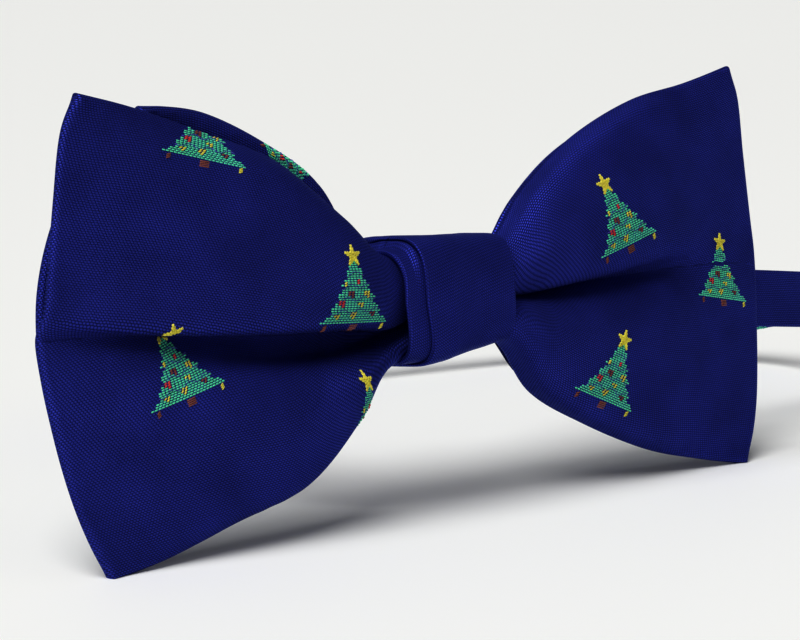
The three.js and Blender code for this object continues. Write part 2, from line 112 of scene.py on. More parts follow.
FRONT_RIGHT = [
    (10.6, [(8.0, -6.4), (4.6, -6.1), (2.9, -4.9), (2.7, -3.4), (3.8, -2.0), (6.6, -1.0), (8.4, -0.2),
            (7.2, 0.2), (4.2, 0.4), (2.9, 2.0), (2.8, 4.4), (4.4, 6.4), (8.0, 6.8)]),
    (17, [(8.2, -14.6), (4.4, -14.0), (2.3, -10.6), (1.9, -6.6), (3.2, -3.2), (6.0, -1.4), (8.4, -0.2),
          (6.6, 0.5), (3.2, 0.9), (1.9, 3.6), (2.0, 8.0), (4.0, 13.0), (8.0, 13.6)]),
    (26, [(7.2, -20.2), (3.9, -19.4), (2.2, -14.4), (1.9, -8.8), (3.0, -4.0), (5.8, -1.4), (8.0, 0.2),
          (6.2, 1.2), (3.0, 1.8), (1.8, 5.0), (1.9, 11.2), (3.7, 19.4), (7.0, 20.6)]),
    (38, [(5.8, -25.6), (3.8, -23.8), (2.6, -17.6), (2.4, -10.8), (3.2, -5.4), (5.2, -2.0), (7.2, 0.6),
          (6.2, 1.8), (3.8, 3.2), (2.5, 6.6), (2.4, 13.6), (3.6, 24.0), (5.8, 25.8)]),
    (50, [(5.0, -28.4), (4.4, -25.2), (4.3, -20.0), (4.7, -13.4), (5.3, -7.4), (5.8, -3.0), (6.1, 0.8),
          (6.0, 2.6), (5.7, 4.8), (5.1, 8.6), (4.5, 15.6), (4.4, 25.2), (5.0, 28.0)]),
    (61.2, [(4.7, -30.2), (5.0, -26.3), (5.5, -21.6), (6.2, -16), (6.8, -10), (7.1, -5), (7.2, 0),
            (7.1, 3.0), (6.9, 6.2), (6.5, 11), (5.9, 17.6), (5.1, 26.3), (4.7, 30.2)]),
]
FRONT_CENTRE = [(8.2, -5.6), (5.2, -5.3), (4.0, -4.2), (4.0, -3.0), (5.4, -1.9), (7.6, -1.0), (8.2, 0),
                (7.6, 0.9), (5.4, 1.7), (4.0, 3.0), (4.0, 4.3), (5.2, 5.4), (8.2, 5.6)]
# The back bow's halves are alike, but for the height of the top edge: points from the middle to the top.
BACK_HALVES = [
    (10.6, [(10.3, 0), (10.5, 1.2), (10.8, 2.3), (10.8, 3.3), (10.5, 4.1), (10.4, 4.7), (10.5, 5.2)]),
    (17, [(10.1, 0), (10.6, 2.0), (11.5, 4.2), (11.8, 6.6), (11.3, 8.8), (10.9, 10.6), (10.8, 12.2)]),
    (26, [(9.5, 0), (10.5, 3.2), (11.7, 6.6), (11.8, 10.2), (11.2, 13.4), (10.9, 16.2), (10.7, 18.8)]),
    (38, [(9.1, 0), (9.9, 4.0), (10.8, 8.4), (10.6, 13.0), (10.1, 17.2), (9.8, 20.6), (9.6, 23.4)]),
    (49, [(9.3, 0), (9.7, 4.4), (9.9, 9.0), (9.5, 14.0), (9.1, 18.8), (8.8, 22.2), (8.6, 25.0)]),
    (58, [(9.9, 0), (9.9, 5.0), (9.6, 10), (9.1, 15), (8.5, 19.6), (8.1, 23.2), (7.9, 25.6)]),
]
BACK_LEFT = {"reach": 60.1, "tops": (6.8, 17.2, 23.0, 27.2, 28.3, 28.4), "lower": 0.9}
BACK_RIGHT = {"reach": 58.0, "tops": (5.2, 12.2, 18.8, 23.4, 25.0, 25.6), "lower": 1.0}
FRONT_INSETS = (6.1, 6.1)             # how far the lower and upper corners are drawn in
BACK_INSETS_LEFT = (8.0, 15.6)
BACK_INSETS_RIGHT = (11.6, 11.6)
ROWS, ROW_EDGE = 112, 0.02            # steps over a bow, and the share of it with finer steps at an edge
COLUMNS, COLUMN_EDGE = 190, 0.012
INTERLINING_HALF = 0.15
HALF_CLOTH = 31.0                     # half the height of the cloth, measured over the front

# ---- Knot ----
KNOT_TOP = 8.2
KNOT_FRONT_Y = 0.9
KNOT_BACK_Y = 14.9
KNOT_RISE = 0.1
KNOT_ROUND_FRONT = 3.6
KNOT_ROUND_BACK = 8.0
KNOT_STEPS = 150
KNOT_SECTION_STEP = 0.13

# ---- Neckband and fittings ----
STRAP_WIDTH = 9.2
STRAP_THICK = 1.0
LOOP_MID = 1.5
EYE_LENGTH = 8.0
SLIDER_AT = 12.0
STRETCH_LENGTH = 30.0
EYE_RUN_LENGTH = 27                   # the part of it that moves with the eye
SLIDER_FOLD_THICK = 0.5
ROUTE = [
    (-15.2, 15.6, -1.1), (-11.0, 13.5, -0.9), (-6.0, 13.2, -0.8), (6.0, 13.2, -0.9), (11.0, 13.4, -1.1),
    (16.5, 14.8, -1.6), (24, 15.4, -2.4), (36, 15.5, -3.4), (52, 15.7, -4.9), (69, 16.3, -6.4),
    (82, 17.6, -7.8), (95, 21, -9.2), (106, 28, -10.4), (113.5, 39, -11.3), (116, 52, -11.8),
    (112, 66, -13.8), (101, 78.5, -17.95), (87, 85, -15.6), (72.5, 88.5, -11.9), (58, 90.3, -11.0),
    (42, 91.8, -11.4), (22, 92.2, -11.4), (5, 91, -10.4),
]


def heading(degrees, slope):
    angle = math.radians(degrees)
    return Vector((math.cos(angle), math.sin(angle), slope)).normalized()


def out_of(way):
    return Vector((0, 0, 1)).cross(way).normalized()


SWING_AXIS = Vector((-20, 20, -1.5))
HOOK_WAY = heading(110, -0.08)
HOOK_OUT = out_of(HOOK_WAY)
HOOK_BAR = SWING_AXIS + HOOK_WAY * 17 - HOOK_OUT * LOOP_MID
EYE_WAY = heading(275, 0.1)
EYE_BAR = HOOK_BAR + HOOK_WAY * 11.0 - HOOK_OUT * 4.4 - EYE_WAY * EYE_LENGTH
STRETCH_WAY = heading(63, -0.11)
STRETCH_OUT = out_of(STRETCH_WAY)

# Fir trees on the bows, each as x and z of its left base corner, right base corner and star, seen from the
# front. Where a tree runs over an edge or into a fold, it is cut off there.
FRONT_TREES = [
    ((-48.4, -10.1), (-37.9, -7.0), (-44.9, -0.4)), ((-23.8, -1.1), (-12.1, -1.9), (-18.0, 7.5)),
    ((-43.9, 23.0), (-31.8, 19.9), (-34.3, 28.8)), ((-18.0, -19.0), (-9.0, -19.1), (-16.8, -9.5)),
    ((25.7, 3.7), (36.9, 6.9), (27.0, 14.3)), ((20.1, -14.7), (30.6, -19.5), (29.1, -8.6)),
    ((47.4, -3.7), (58.6, -5.8), (52.9, 3.9)),
]
FRONT_TREES_BEHIND = [((36, -20), (48, -19), (43, -10)), ((-46, -20), (-34, -21), (-41, -11))]
BACK_TREES = [((-25.0, 23.5), (-22.5, 14.6), (-17.0, 19.3))]
BACK_TREES_BEHIND = [
    ((-50, 6), (-39, 8), (-46, 16)), ((-33, -14), (-21, -13), (-28, -4)), ((27, 1), (39, -1), (34, 9)),
    ((38, -20), (49, -18), (42, -10)), ((20, -11), (31, -13), (26, -4)), ((-28, 9), (-17, 7), (-22, 16)),
    ((40, 14), (51, 12), (47, 21)), ((-52, -20), (-41, -21), (-46, -12)),
]
# Those on the long strap: along it, across it and turn of the foot, on the cloth.
STRAP_TREES = [
    (76, -9.5, 0.15), (100, -1.9, math.pi + 0.08), (123, -8.0, -0.1), (149, -3.0, 0.15), (174, 2.0, 0.2),
    (198, -9.0, -0.2), (222, -2.0, 0.1), (246, -8.0, -0.1), (270, 1.0, 0.2),
]


# ---- Settings that a user would change ----
class TieSizes(bpy.types.PropertyGroup):
    bag_half: bpy.props.FloatProperty(
        name="Half bag", description="Half the thickness of a bow's double cloth", default=0.8 * MM,
        unit="LENGTH")
    edge_round: bpy.props.FloatProperty(
        name="Edge round", description="Width over which the cloth rolls round an edge", default=1.1 * MM,
        unit="LENGTH")
    edge_reach: bpy.props.FloatProperty(
        name="Edge reach", description="How far the rolled edge stands past the interlining",
        default=0.45 * MM, unit="LENGTH")
    wrap_ply: bpy.props.FloatProperty(
        name="Knot ply", description="Thickness of the cloth of the knot", default=0.24 * MM, unit="LENGTH")
    float_length: bpy.props.FloatProperty(
        name="Float length", description="Length of one woven figure thread", default=0.56 * MM,
        unit="LENGTH")
    float_width: bpy.props.FloatProperty(
        name="Float width", description="Width of one woven figure thread", default=0.30 * MM,
        unit="LENGTH")


class TieColours(bpy.types.PropertyGroup):
    navy: bpy.props.FloatVectorProperty(
        name="Navy", description="Colour of the raised warp floats", subtype="COLOR", size=3,
        default=(0.040, 0.052, 0.38))
    # painted shade: the near-black navy that the weave paints at the sides and ends of each float and between
    # floats
    navy_gap_shade: bpy.props.FloatVectorProperty(
        name="Navy with painted gap shade", description="Painted shade between and beside the floats", subtype="COLOR", size=3,
        default=(0.006, 0.007, 0.045))
    fir: bpy.props.FloatVectorProperty(
        name="Fir green", description="Colour of the figure's body", subtype="COLOR", size=3,
        default=(0.11, 0.78, 0.42))
    gold: bpy.props.FloatVectorProperty(
        name="Gold", description="Colour of the star and of the yellow baubles", subtype="COLOR", size=3,
        default=(1.0, 0.76, 0.09))
    red: bpy.props.FloatVectorProperty(
        name="Red", description="Colour of the red baubles", subtype="COLOR", size=3,
        default=(0.85, 0.07, 0.055))
    bark: bpy.props.FloatVectorProperty(
        name="Bark", description="Colour of the trunk", subtype="COLOR", size=3, default=(0.27, 0.075, 0.045))
    canvas: bpy.props.FloatVectorProperty(
        name="Interlining", description="Colour of the interlining", subtype="COLOR", size=3,
        default=(0.62, 0.59, 0.50))
    nickel: bpy.props.FloatVectorProperty(
        name="Nickel", description="Colour of the metal fittings", subtype="COLOR", size=3,
        default=(0.66, 0.64, 0.60))


class TieStage(bpy.types.PropertyGroup):
    lens: bpy.props.FloatProperty(
        name="Lens", description="Focal length in millimetres on a 36 mm sensor", default=99.0)
    eye_height: bpy.props.FloatProperty(
        name="Camera height", description="Height of the camera over the table", default=0.07796,
        unit="LENGTH")
    key_power: bpy.props.FloatProperty(
        name="Key light", description="Strength of the wide light from the upper left", default=3.05)
    fill_power: bpy.props.FloatProperty(
        name="Fill light", description="Strength of the light from the front", default=0.05)
    sky: bpy.props.FloatProperty(
        name="Room light", description="Strength of the even light all round", default=0.21)


# ---- Helpers for shapes ----
def to_row(points):
    """Bow millimetres to row metres."""
    turn = np.array(TURN)
    return np.asarray(points) @ turn.T * MM + np.array(MIDDLE)


def spline(points, params):
    """Centripetal curve through points[0], points[1], ..., each a point or an array of points."""
    points = np.asarray(points, float)
    ring = np.concatenate([(2 * points[0] - points[1])[None], points, (2 * points[-1] - points[-2])[None]])
    place = np.clip(np.asarray(params, float), 0, 1) * (len(points) - 1)
    k = np.minimum(place.astype(int), len(points) - 2)
    w = (place - k).reshape((-1,) + (1,) * (points.ndim - 1))
    p0, p1, p2, p3 = (ring[k + i] for i in range(4))
    d0, d1, d2 = (np.maximum(np.sqrt(np.linalg.norm(b - a, axis=-1, keepdims=True)), 1e-4)
                  for a, b in ((p0, p1), (p1, p2), (p2, p3)))
    m1 = ((p1 - p0) / d0 - (p2 - p0) / (d0 + d1) + (p2 - p1) / d1) * d1
    m2 = ((p2 - p1) / d1 - (p3 - p1) / (d1 + d2) + (p3 - p2) / d2) * d1
    return p1 + m1 * w + (-3 * p1 + 3 * p2 - 2 * m1 - m2) * w ** 2 + (2 * p1 - 2 * p2 + m1 + m2) * w ** 3


def run_along(path):
    """The distance along a path at each of its points."""
    return np.concatenate([[0], np.cumsum(np.linalg.norm(np.diff(path, axis=0), axis=1))])


def way_along(path):
    """The direction of a path at each of its points."""
    way = np.gradient(path, axis=0)
    return way / np.linalg.norm(way, axis=1, keepdims=True)


def evenly(path, step):
    """The same path with points an even distance apart."""
    path = np.asarray(path, float)
    run = run_along(path)
    wanted = np.linspace(0, run[-1], max(int(round(run[-1] / step)), 2) + 1)
    return np.stack([np.interp(wanted, run, path[:, k]) for k in range(path.shape[1])], axis=1)


def arc(cx, cy, radius, start, stop, steps):
    """Points on an arc, from start to stop degrees."""
    return [(cx + radius * math.cos(math.radians(start + (stop - start) * i / steps)),
             cy + radius * math.sin(math.radians(start + (stop - start) * i / steps)))
            for i in range(steps + 1)]


def cells(grid, flip):
    """The four corners of each cell of a grid, in order round it."""
    a, b, c, d = grid[:-1, :-1], grid[:-1, 1:], grid[1:, 1:], grid[1:, :-1]
    return np.stack((a, d, c, b) if flip else (a, b, c, d), axis=2)


def make_piece(name, points, faces, uvs, body, materials, face_materials=None):
    """A finished mesh piece in the row frame. points are in bow millimetres, uvs one per face corner."""
    mesh = bpy.data.meshes.new(name)
    mesh.from_pydata(to_row(points).tolist(), [], faces)
    mesh.polygons.foreach_set("use_smooth", [True] * len(mesh.polygons))
    if uvs is not None:
        layer = mesh.uv_layers.new(name="cloth")
        layer.data.foreach_set("uv", np.asarray(uvs, np.float32).ravel())
    for material in materials:
        mesh.materials.append(material)
    if face_materials is not None:
        mesh.polygons.foreach_set("material_index", face_materials)
    mesh.update()
    piece = bpy.data.objects.new(name, mesh)
    bpy.context.scene.collection.objects.link(piece)
    if body:
        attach(piece, body)
    return piece


class ClothMap:
    """Where a place on the flat cloth lies on a made-up piece. Triangles hold bow points and cloth places."""

    def __init__(self, corners, places):
        self.corners = corners
        self.places = places
        count = len(corners)
        index = np.arange(count * 3).reshape(-1, 3).tolist()
        flat = np.concatenate([places.reshape(-1, 2), np.zeros((count * 3, 1))], axis=1)
        self.flat_tree = BVHTree.FromPolygons(flat.tolist(), index, all_triangles=True)
        self.solid_tree = BVHTree.FromPolygons(corners.reshape(-1, 3).tolist(), index, all_triangles=True)

    def seen(self, x, z, facing):
        """The point and the way out of it, seen at x, z from the front (facing 1) or from behind (-1)."""
        hit, out, _, _ = self.solid_tree.ray_cast(Vector((x, -60 * facing, z)), Vector((0, facing, 0)))
        return None if hit is None else (np.array(hit), np.array(out))

    def laid(self, u, v):
        """The point at a cloth place and the way out of it."""
        near, _, k, away = self.flat_tree.find_nearest(Vector((u, v, 0)))
        if near is None or away > 0.06:
            return None
        a, b, c = (Vector(p) for p in self.corners[k])
        flat = [Vector((*p, 0)) for p in self.places[k]]
        normal = (b - a).cross(c - a)
        return np.array(barycentric_transform(near, *flat, a, b, c)), np.array(normal.normalized())


# ---- The bows ----
def wing_profiles(stations, side, insets):
    """The points of each station in space, with the lower and upper corner of the outer edge drawn in."""
    widest = stations[-1][0]
    profiles = []
    for x, points in stations:
        last = (len(points) - 1) / 2
        pull = [insets[k > last] * abs(k / last - 1) ** 2 * (x / widest) ** 3 for k in range(len(points))]
        profiles.append([(side * (x - p), y, z) for p, (y, z) in zip(pull, points)])
    return profiles


def back_wing(reach, tops, lower):
    """The stations of one wing of the back bow, with its own reach, top edge and share of the lower half."""
    spread = reach / BACK_HALVES[-1][0]
    stations = []
    for (x, half), top in zip(BACK_HALVES, tops):
        below = [(y, -z * lower) for y, z in half[:0:-1]]
        stations.append((x * spread ** (x / reach), below + [(y, z * top / half[-1][1]) for y, z in half]))
    return stations


def edge_steps(reach, inner):
    """Steps that are fine at both edges of 0 to 1, and the number of steps between."""
    fine = np.array([0, 0.05, 0.14, 0.28, 0.48, 0.74, 1.0]) * reach
    return np.concatenate([fine, np.linspace(reach, 1 - reach, inner)[1:-1], 1 - fine[::-1]])


def grow_edges(grid, reach):
    """Adds rows past the first and last row of a grid, so that the edge can roll."""
    shares = np.array([1.0, 0.93, 0.78, 0.5])
    first = grid[0] - grid[4]
    last = grid[-1] - grid[-5]
    first /= np.linalg.norm(first, axis=-1, keepdims=True)
    last /= np.linalg.norm(last, axis=-1, keepdims=True)
    before = [grid[0] + first * reach * s for s in shares]
    after = [grid[-1] + last * reach * s for s in shares[::-1]]
    return np.concatenate([before, grid, after])


def gathers(grid, strength, phase):
    """Small folds that fan out from the knot, as a height over the cloth."""
    rows = grid.shape[0]
    x = grid[:, :, 0]
    share = np.linspace(-1, 1, rows)[:, None]
    side = np.where(x < 0, 0.7, 0.0)
    near = np.exp(-((np.abs(x) - 12) / 13.0) ** 2) * np.clip((np.abs(x) - 8.5) / 4, 0, 1)
    ripple = (np.sin(share * 14.0 + phase + side) * 0.6 + np.sin(share * 27.0 + phase * 2 + side * 3) * 0.4)
    wide = np.sin(share * 5.2 + x * 0.045 + phase) * np.clip((np.abs(x) - 18) / 30, 0, 1) * 0.35
    return strength * (ripple * near + wide)


def normals(grid):
    """The way out of a grid of points, towards the front."""
    n = np.cross(np.gradient(grid, axis=1), np.gradient(grid, axis=0))
    return n / np.maximum(np.linalg.norm(n, axis=-1, keepdims=True), 1e-9)


def add_interlining(name, grid, strength, phase):
    """The stiff layer inside a bow: a thin closed sheet."""
    grid = grid + normals(grid) * gathers(grid, strength, phase)[:, :, None]
    out = normals(grid) * INTERLINING_HALF
    count, wide = grid.shape[:2]
    size = count * wide
    ids = np.arange(size).reshape(count, wide)
    front = cells(ids, False).reshape(-1, 4)
    rim = np.concatenate([ids[0], ids[1:, -1], ids[-1, -2::-1], ids[-2:0:-1, 0]])
    turned = np.roll(rim, -1)
    sides = np.stack([turned, rim, rim + size, turned + size], axis=-1)
    faces = np.concatenate([front, front[:, ::-1] + size, sides])
    points = np.concatenate([(grid + out).reshape(-1, 3), (grid - out).reshape(-1, 3)])
    canvas = finish_for("interlining canvas")
    return make_piece(name, points, faces.tolist(), None, "bow", [canvas])


def bow_bag(name, left, centre, right, strength, phase, material):
    """A bow: a flat bag of cloth, closed by rolled edges, round its interlining. Returns the bag, its
    interlining and its cloth map. left, centre and right are profiles in space."""
    sizes = bpy.context.scene.tie_sizes
    half, round_width, reach = (s / MM for s in (sizes.bag_half, sizes.edge_round, sizes.edge_reach))
    control = np.array(left[::-1] + [centre] + right, float)
    threads = spline(np.swapaxes(control, 0, 1), edge_steps(ROW_EDGE, ROWS))
    grid = spline(np.swapaxes(threads, 0, 1), edge_steps(COLUMN_EDGE, COLUMNS))
    grid = np.swapaxes(grid, 0, 1)
    lining = add_interlining(name + "_lining", grid[::2, ::2], strength, phase)
    grid = grow_edges(grid, reach)
    grid = np.swapaxes(grow_edges(np.swapaxes(grid, 0, 1), reach), 0, 1)
    count, wide = grid.shape[:2]

    grid = grid + normals(grid) * gathers(grid, strength, phase)[:, :, None]
    out = normals(grid)
    up = np.concatenate([np.zeros((1, wide)), np.cumsum(np.linalg.norm(np.diff(grid, axis=0), axis=2), 0)])
    steps = np.linalg.norm(np.diff(grid, axis=1), axis=2)
    run = np.concatenate([np.zeros((count, 1)), np.cumsum(steps, 1)], 1)
    run = run - run[:, wide // 2][:, None]
    down = up[-1][None] - up
    from_long_edge = np.minimum(up, down)
    from_end = np.minimum(run - run[:, :1], run[:, -1:] - run)
    edge = np.minimum(from_long_edge, from_end)
    roll = np.clip(edge / round_width, 0, 1)
    # a corner holds more layers than an edge, so it is fuller
    corner = np.exp(-((from_long_edge ** 2 + from_end ** 2) / 3.2))
    thick = half * np.sqrt(np.clip(1 - (1 - roll) ** 2, 0, 1)) * (1 + 0.55 * corner)
    # the edges pucker slightly where the seam holds the cloth
    pucker = 0.05 * np.sin(run * 1.9 + up * 0.3) * np.exp(-(np.maximum(edge - 0.9, 0) / 1.6) ** 2)
    front = grid + out * (thick + pucker * (roll > 0.99))[:, :, None]
    back = grid - out * thick[:, :, None]

    upper = np.arange(count)[:, None] >= count / 2
    place_front = np.where(upper, HALF_CLOTH - down, up - HALF_CLOTH)
    place_back = np.where(upper, HALF_CLOTH + down, -HALF_CLOTH - up)
    rim = np.zeros((count, wide), bool)
    rim[[0, -1]] = True
    rim[:, [0, -1]] = True
    ids_front = np.arange(count * wide).reshape(count, wide)
    ids_back = ids_front.copy()
    inner = ~rim
    ids_back[inner] = count * wide + np.arange(inner.sum())
    points = np.concatenate([front.reshape(-1, 3), back[inner]])

    faces = np.concatenate([cells(ids_front, False).reshape(-1, 4), cells(ids_back, True).reshape(-1, 4)])
    uvs = np.concatenate([cells(np.stack([run, place], axis=-1), flip).reshape(-1, 4, 2)
                          for place, flip in ((place_front, False), (place_back, True))])
    piece = make_piece(name, points, faces.tolist(), uvs.reshape(-1, 2), "bow", [material])
    # the faces at the bottom of the middle fold join cloth that is tucked away, so no figure lies there
    seam = np.abs(uvs[:, :, 1].max(axis=1) - uvs[:, :, 1].min(axis=1)) > 2.5
    keep_faces, keep_uvs = points[faces[~seam]], uvs[~seam]
    corners = np.concatenate([keep_faces[:, [0, 1, 2]], keep_faces[:, [0, 2, 3]]])
    flat = np.concatenate([keep_uvs[:, [0, 1, 2]], keep_uvs[:, [0, 2, 3]]])
    return piece, lining, ClothMap(corners, flat)


# ---- Woven figures ----
FIR, GOLD, RED, BARK, NIGHT = range(5)
TREE_HALF = 6.2                       # a tree's base corners stand this far out, at this height
TREE_BASE = 1.2
TREE_STAR = 9.9
TIERS = 5
TREE_TOP = 9.2
BAUBLES = [
    (0.5, 6.6, RED), (-1.7, 6.3, GOLD), (1.9, 4.9, GOLD), (-0.9, 4.9, BARK), (0.8, 3.6, GOLD),
    (-2.6, 3.7, RED), (3.0, 2.4, BARK), (-0.6, 2.2, GOLD), (-3.5, 2.1, GOLD), (5.2, 0.7, GOLD),
    (-5.3, 0.6, BARK),
]


def fir_tree():
    """The threads of one figure: middle, length, width, turn, height over the cloth and colour of each."""
    sizes = bpy.context.scene.tie_sizes
    long, wide = sizes.float_length / MM, sizes.float_width / MM
    seed = random.Random(11)
    rows = int((TREE_TOP - TREE_BASE) / wide)
    threads = []
    for j in range(rows + 1):
        y = TREE_BASE + 0.1 + j * wide
        level = (TREE_TOP - y) / (TREE_TOP - TREE_BASE)
        notch = (level * TIERS) % 1.0
        half = 0.45 + 5.1 * level - 0.75 * (1 - notch) * min(level * 2.5, 1)
        half += 0.7 * max(level - 0.85, 0) / 0.15
        x = -half + (j % 2) * long * 0.5
        while x < half:
            hung = [c for bx, by, c in BAUBLES if abs(x - bx) < 0.42 and abs(y - by) < 0.36]
            if hung:
                threads.append((x, y, long, wide, 0.5, 0.19, hung[0]))
            else:
                threads.append((x + seed.uniform(-0.02, 0.02), y, long, wide, 0.0, 0.11, FIR))
            x += long
    # the garlands are dark floats that sag between the tiers
    for tier in range(1, TIERS):
        y = TREE_TOP - (TREE_TOP - TREE_BASE) * tier / TIERS
        half = 0.3 + 5.1 * tier / TIERS
        for k in range(int(2 * half / 0.5) + 1):
            x = -half + k * 0.5
            sag = 0.26 * math.sin(x * 2.1 + tier * 1.7) + 0.05 * x
            lean = math.atan(0.26 * 2.1 * math.cos(x * 2.1 + tier * 1.7) + 0.05)
            threads.append((x, y + sag, 0.72, 0.13, lean, 0.17, NIGHT))
    for bx, by, colour in BAUBLES[-2:]:
        for k in (-1, 0, 1):
            threads.append((bx, by + k * 0.24, 0.72, 0.26, 0.5, 0.18, colour))
    for k in range(4):
        threads.append((-0.1, 0.15 + k * 0.25, 1.7, 0.28, 0.06, 0.12, BARK))
    for arm in range(5):
        angle = math.pi / 2 + arm * 2 * math.pi / 5
        for step, spread in ((0.35, 0.26), (0.78, 0.17), (1.15, 0.05)):
            for k in (-1, 0, 1):
                cx = math.cos(angle) * step - math.sin(angle) * spread * k
                cy = math.sin(angle) * step + math.cos(angle) * spread * k
                threads.append((cx, TREE_STAR + cy, 0.72, 0.30, angle + k * 0.15, 0.2, GOLD))
    threads.append((0, TREE_STAR, 0.8, 0.5, 0.2, 0.22, GOLD))
    return threads


def seen_from(cloth, corners, facing):
    """Where a tree's own places come to lie, from its base corners and star as they are seen."""
    left, right, star = (np.array(c, float) for c in corners)
    middle = (left + right) / 2
    across, up = (right - left) / (2 * TREE_HALF), (star - middle) / (TREE_STAR - TREE_BASE)

    def where(x, y):
        return cloth.seen(*(middle + across * x * facing + up * (y - TREE_BASE)), facing)
    return where


def laid_at(cloth, u, v, turn):
    """Where a tree's own places come to lie, from the cloth place of its foot and its turn."""
    cos, sin = math.cos(turn), math.sin(turn)
    return lambda x, y: cloth.laid(u + x * cos - y * sin, v + x * sin + y * cos)


def add_figures(name, places, body):
    """Lays a tree at each of the places. Each thread is a small raised float with pointed ends."""
    base = [(-0.5, 0), (-0.40, -0.5), (0.40, -0.5), (0.5, 0), (0.40, 0.5), (-0.40, 0.5)]
    ridge = [(-0.30, 0), (0.30, 0)]
    shape = [(0, 1, 6), (1, 2, 7, 6), (2, 3, 7), (3, 4, 7), (4, 5, 6, 7), (5, 0, 6), (5, 4, 3, 2, 1, 0)]
    tree = fir_tree()
    points, faces, uvs, looks = [], [], [], []
    for where in places:
        for x, y, long, wide, lean, tall, colour in tree:
            cos, sin = math.cos(lean), math.sin(lean)
            flat = [(x + p * long * cos - q * wide * sin, y + p * long * sin + q * wide * cos)
                    for p, q in base + ridge]
            found = [where(*place) for place in flat]
            if any(f is None for f in found):
                continue
            spots = np.array([f[0] for f in found])
            if np.ptp(spots, axis=0).max() > 3 * long:
                continue
            outward = np.mean([f[1] for f in found], axis=0)
            start = len(points)
            points += [*(spots[:6] - outward * 0.05), *(spots[6:] + outward * tall)]
            for face in shape:
                faces.append([start + k for k in face])
                uvs.extend(flat[k] for k in face)
                looks.append(colour)
    names = ("fir thread", "gold thread", "red thread", "bark thread", "sewing thread")
    make_piece(name, points, faces, uvs, body, [finish_for(n) for n in names], looks)


# ---- The knot ----
def knot_point(angle, x, height):
    """A point on the knot at an angle, a height over its inside face."""
    c, s = math.cos(angle), math.sin(angle)
    power = 2 / (KNOT_ROUND_FRONT if c < 0 else KNOT_ROUND_BACK)
    deep = (KNOT_BACK_Y - KNOT_FRONT_Y) / 2 + height
    y = (KNOT_BACK_Y + KNOT_FRONT_Y) / 2 + deep * math.copysign(abs(c) ** power, c)
    z = KNOT_RISE + (KNOT_TOP + height) * math.copysign(abs(s) ** power, s)
    return (x, y, z)


def strip_outline(path, thickness):
    """The outline of a strip of cloth laid along a path."""
    path = np.asarray(path, float)
    way = way_along(path)
    side = np.stack([-way[:, 1], way[:, 0]], axis=1) * thickness / 2
    return np.concatenate([path + side, (path - side)[::-1]])


def knot_section(ply):
    """The folded cloth of the knot across its width: x and height over its inside face."""
    low, step = ply / 2 + 0.08, ply + 0.05
    mid, high = low + step, low + 2 * step
    path = [(8.45, low - 0.52), (8.7, low - 0.50)]
    path += arc(8.75, low - 0.25, 0.25, -90, 90, 6)
    path += [(7.9, low + 0.03), (6.0, low + 0.10), (3.5, low + 0.16), (1.0, low + 0.28), (-1.5, high - 0.16)]
    path += [(-3.6, high), (-6.0, high + 0.04), (-7.1, high)]
    path += arc(-7.3, mid + step / 2, step / 2, 90, 270, 8)
    path += [(-6.6, mid), (-5.0, mid)]
    path += arc(-4.8, low + step / 2, step / 2, 90, -90, 8)
    path += [(-5.6, low), (-8.0, low + 0.02), (-10.2, low)]
    path += arc(-10.35, low - 0.25, 0.25, 90, 270, 6)
    path += [(-10.2, low - 0.5), (-9.95, low - 0.5)]
    return evenly(path, KNOT_SECTION_STEP)


def knot_ring(name, section, ply, material):
    """The knot, or the stiffener inside it: a folded section carried round both bows."""
    outline = strip_outline(section, ply)
    along = run_along(section)
    across = np.concatenate([along, along[::-1] + 30])
    fine = np.linspace(0, 2 * math.pi, 4001)[:-1]
    outer = np.array([knot_point(a, 0, 0)[1:] for a in fine])
    run = run_along(np.append(outer, outer[:1], axis=0))
    wanted = np.linspace(0, run[-1], KNOT_STEPS + 1)
    angles = np.interp(wanted, run, np.append(fine, 2 * math.pi))
    count = len(outline)
    points = []
    for angle in angles[:-1]:
        # the folded edges wander a little, and the cloth swells between them
        fold = 0.22 * math.sin(angle * 2 + 0.6) + 0.08 * math.sin(angle * 5 + 1.0)
        edge = 0.20 * math.sin(angle * 2 + 2.1) + 0.07 * math.sin(angle * 5)
        swell = 0.10 * math.sin(angle * 3 + 0.4) + 0.05 * math.sin(angle * 7)
        for x, height in outline:
            shift = fold * np.clip((-x - 2) / 3, 0, 1) * (height > 0.5)
            shift += edge * np.clip((-x - 8.5) / 1.5, 0, 1)
            bulge = swell * np.clip((x + 6.5) / 4, 0, 1) * np.clip((8.5 - x) / 3, 0, 1)
            bulge *= math.cos(angle) < 0.6
            x, y, z = knot_point(angle, x + shift, height + max(bulge, -0.05))
            # the folds lean, and the knot is drawn in below on its right and above on its left
            x += (0.8 + 0.13 * max(-z, 0)) * np.clip((3 - x) / 6, 0, 1) * np.clip((12 - y) / 6, 0, 1)
            z += 0.11 * np.clip(x + 5, 0, 14) * np.clip(-z / 6, 0, 1) * (1 if y < 9 else 0.4)
            z -= 1.0 * np.clip((-x - 7.2) / 0.8, 0, 1) * np.clip(z / 6, 0, 1)
            points.append((x, y, z))
    faces, uvs = [], []
    for i in range(KNOT_STEPS):
        here, there = i * count, (i + 1) % KNOT_STEPS * count
        for j in range(count):
            k = (j + 1) % count
            faces.append((here + j, there + j, there + k, here + k))
            end = across[k] if k else across[j] + 0.3
            uvs += [(wanted[i], across[j]), (wanted[i + 1], across[j]),
                    (wanted[i + 1], end), (wanted[i], end)]
    return make_piece(name, points, faces, uvs, "bow", [material])


